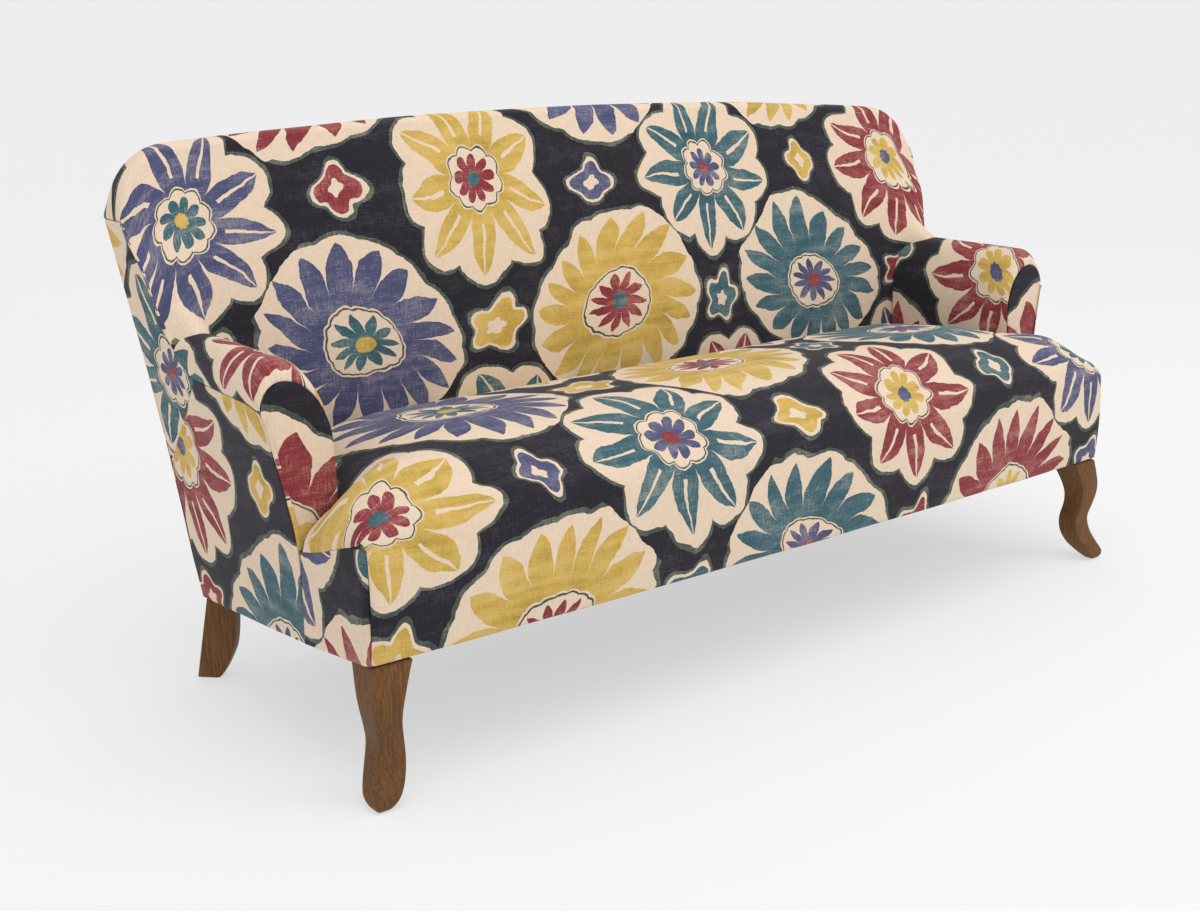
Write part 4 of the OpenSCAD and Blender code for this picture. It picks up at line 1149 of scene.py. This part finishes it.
def spline(points, steps):
    line = []
    last = len(points) - 1
    for k in range(last):
        a, b, c, d = (points[min(max(k + n, 0), last)] for n in (-1, 0, 1, 2))
        for m in range(steps):
            t = m / steps
            line.append([0.5 * (2 * q + (r - p) * t + (2 * p - 5 * q + 4 * r - w) * t * t
                                + (3 * q - p - 3 * r + w) * t ** 3) for p, q, r, w in zip(a, b, c, d)])
    return line + [list(points[last])]


# A tube of rounded rectangles, closed at both ends. A box is its low and high x, low and high y, and height
def sawnLeg(boxes, ease, place):
    around = 16
    last = len(boxes) - 1

    def shape(s, t):
        x0, x1, y0, y1, z = boxes[round(t * last)]
        k = round(s * around) % around
        corner, turn = k // 4, 90 * (k // 4) + 30 * (k % 4)
        r = min(ease, (x1 - x0) / 2.2, (y1 - y0) / 2.2)
        cx = x1 - r if corner in (0, 3) else x0 + r
        cy = y1 - r if corner in (0, 1) else y0 + r
        return place(cx + r * cosDeg(turn), cy + r * sinDeg(turn), z)

    mesh = shapedGrid(shares(around), shares(last), shape, lambda co, s, t: (s, t))
    bmesh.ops.remove_doubles(mesh, verts=mesh.verts, dist=1e-6)
    bmesh.ops.holes_fill(mesh, edges=[e for e in mesh.edges if e.is_boundary])
    bmesh.ops.recalc_face_normals(mesh, faces=mesh.faces)
    return mesh


# The foot's lower edge is cut back a little all round. The legs' tops run up inside the covers
def easeFoot(boxes, cut=1.5, rise=2.0):
    x0, x1, y0, y1 = boxes[0][:4]
    return [(x0 + cut, x1 - cut, y0 + cut, y1 - cut, 0), (x0, x1, y0, y1, rise), *boxes[1:]]


def frontLeg():
    half, x0, y0 = leg.size / 2, sofa.halfWidth - leg.inset, leg.inset
    height = underside(y0)
    boxes = []
    for share, out, back in reversed(spline(leg.curve, 4)):
        dx, dy = (lerp(leg.footShift[k], leg.topShift[k], share) for k in (0, 1))
        boxes.append((back * half + dx, out * half + dx, -out * half + dy, -back * half + dy, share * height))
    boxes = easeFoot(boxes)
    boxes[-1] = (*boxes[-1][:4], height + 20)
    boxes.insert(-1, (*boxes[-1][:4], height - 4))

    def place(x, y, z):
        return x0 + x, y0 + y, min(z, underside(y0 + y) + 0.3)

    return sawnLeg(boxes, leg.ease, place)


# Rear leg: a flat sabre leg set across the corner. Its inner face is given in widths, by shares of the height
rearLegSize = SimpleNamespace(
    width=50, thick=32, insetX=53, insetY=27, ease=4,
    inner=[(1, -0.5), (0.66, -0.49), (0.42, -0.42), (0.27, -0.28), (0.1, -0.04), (0, 0.14)],
)


def rearLeg():
    w, h = rearLegSize.width, sofa.rearHeight
    x0, y0 = sofa.halfWidth - rearLegSize.insetX, sofa.baseDepth - rearLegSize.insetY
    thick = rearLegSize.thick / 2
    boxes = []
    for share, inner in reversed(spline(rearLegSize.inner, 5)):
        boxes.append((inner * w, lerp(0.94, 0.5, share) * w, -thick, thick, share * h))
    boxes = easeFoot(boxes)
    boxes.append((*boxes[-1][:4], h + 40))

    def place(x, y, z):
        px, py = x0 + (x - y) * math.sqrt(0.5), y0 + (x + y) * math.sqrt(0.5)
        return px, py + 8 * (1 - unit(z / h)), min(z, underside(py) - 0.3)

    return sawnLeg(boxes, rearLegSize.ease, place)


for title, make, node in (("frontLeg", frontLeg, "front_leg"), ("rearLeg", rearLeg, "rear_leg")):
    for side in ("left", "right"):
        addPiece(f"{title}.{side}", sideMesh(make, side), oiledOak, f"{node}_{side}")
print("legs made")

# Studio: a pale floor that sweeps up all round, faintly lit from within, soft light, the photograph's camera
studio = SimpleNamespace(
    floor="#a0a0a0", glow=0.55, flat=6, bend=5, wallTop=8, sky=(0.97, 0.97, 0.97, 1.0), skyStrength=0.8,
    lamps=(("keyLight", (3.0, -3.6, 3.8), 3.0, 56), ("topLight", (-0.6, -1.4, 4.6), 3.6, 62)),
)
camera = SimpleNamespace(
    azimuth=-39.2, elevation=15.46, roll=-0.04, focalPixels=1576.7, imageWidth=1200, sensor=36,
    place=(-1931.23, -1801.84, 1099.81),
)


def makeStudio():
    mesh = bmesh.new()
    flat, bend = studio.flat, studio.bend
    profile = [(0.02, 0), (2, 0), (4, 0), (flat, 0)]
    profile += [(flat + bend * sinDeg(7.5 * k), bend - bend * cosDeg(7.5 * k)) for k in range(1, 13)]
    profile.append((flat + bend, studio.wallTop))
    verts = [mesh.verts.new((x, 0, z)) for x, z in profile]
    edges = [mesh.edges.new(pair) for pair in zip(verts, verts[1:])]
    bmesh.ops.spin(mesh, geom=verts + edges, axis=(0, 0, 1), cent=(0, 0, 0), angle=2 * math.pi, steps=96,
                   use_merge=True)
    bmesh.ops.remove_doubles(mesh, verts=mesh.verts, dist=1e-4)
    bmesh.ops.holes_fill(mesh, edges=[e for e in mesh.edges if e.is_boundary and e.calc_length() < 0.01])
    bmesh.ops.recalc_face_normals(mesh, faces=mesh.faces)
    if sum(f.normal.z for f in mesh.faces) < 0:
        bmesh.ops.reverse_faces(mesh, faces=mesh.faces)
    material, add = newMaterial("paintedStudioFloor")
    surface = add("BsdfPrincipled", {
        "Base Color": hexColour(studio.floor), "Roughness": 0.95, "Specular IOR Level": 0.1,
        "Emission Color": (1.0, 1.0, 1.0, 1.0), "Emission Strength": studio.glow})
    add("OutputMaterial", [surface])
    meshObject("studioFloor", mesh, material)

    world = bpy.data.worlds.new("studioSky")
    bpy.context.scene.world = world
    world.use_nodes = True
    background = world.node_tree.nodes["Background"].inputs
    background[0].default_value = studio.sky
    background[1].default_value = studio.skyStrength
    for name, place, size, power in studio.lamps:
        lamp = bpy.data.lights.new(name, "AREA")
        lamp.shape, lamp.size, lamp.energy = "DISK", size, power
        obj = linkObject(name, lamp)
        obj.location = place
        obj.rotation_mode = "QUATERNION"
        obj.rotation_quaternion = (Vector((0, 0, 0.4)) - Vector(place)).to_track_quat("-Z", "Y")
    bpy.context.scene.view_settings.view_transform = "Standard"


def makeCamera():
    data = bpy.data.cameras.new("photoCamera")
    data.sensor_width = camera.sensor
    data.lens = camera.focalPixels / camera.imageWidth * camera.sensor
    data.clip_start, data.clip_end = 0.05, 60
    obj = linkObject("photoCamera", data)
    a, e = math.radians(camera.azimuth), math.radians(camera.elevation)
    back = Vector((math.sin(a) * math.cos(e), -math.cos(a) * math.cos(e), math.sin(e)))
    right = Vector((0, 0, 1)).cross(back).normalized()
    up = back.cross(right)
    roll = math.radians(camera.roll)
    right, up = right * math.cos(roll) + up * math.sin(roll), up * math.cos(roll) - right * math.sin(roll)
    obj.rotation_mode = "QUATERNION"
    obj.rotation_quaternion = Matrix((right, up, back)).transposed().to_quaternion()
    obj.location = toScene(*camera.place)
    bpy.context.scene.camera = obj


makeStudio()
makeCamera()
print("studio made")
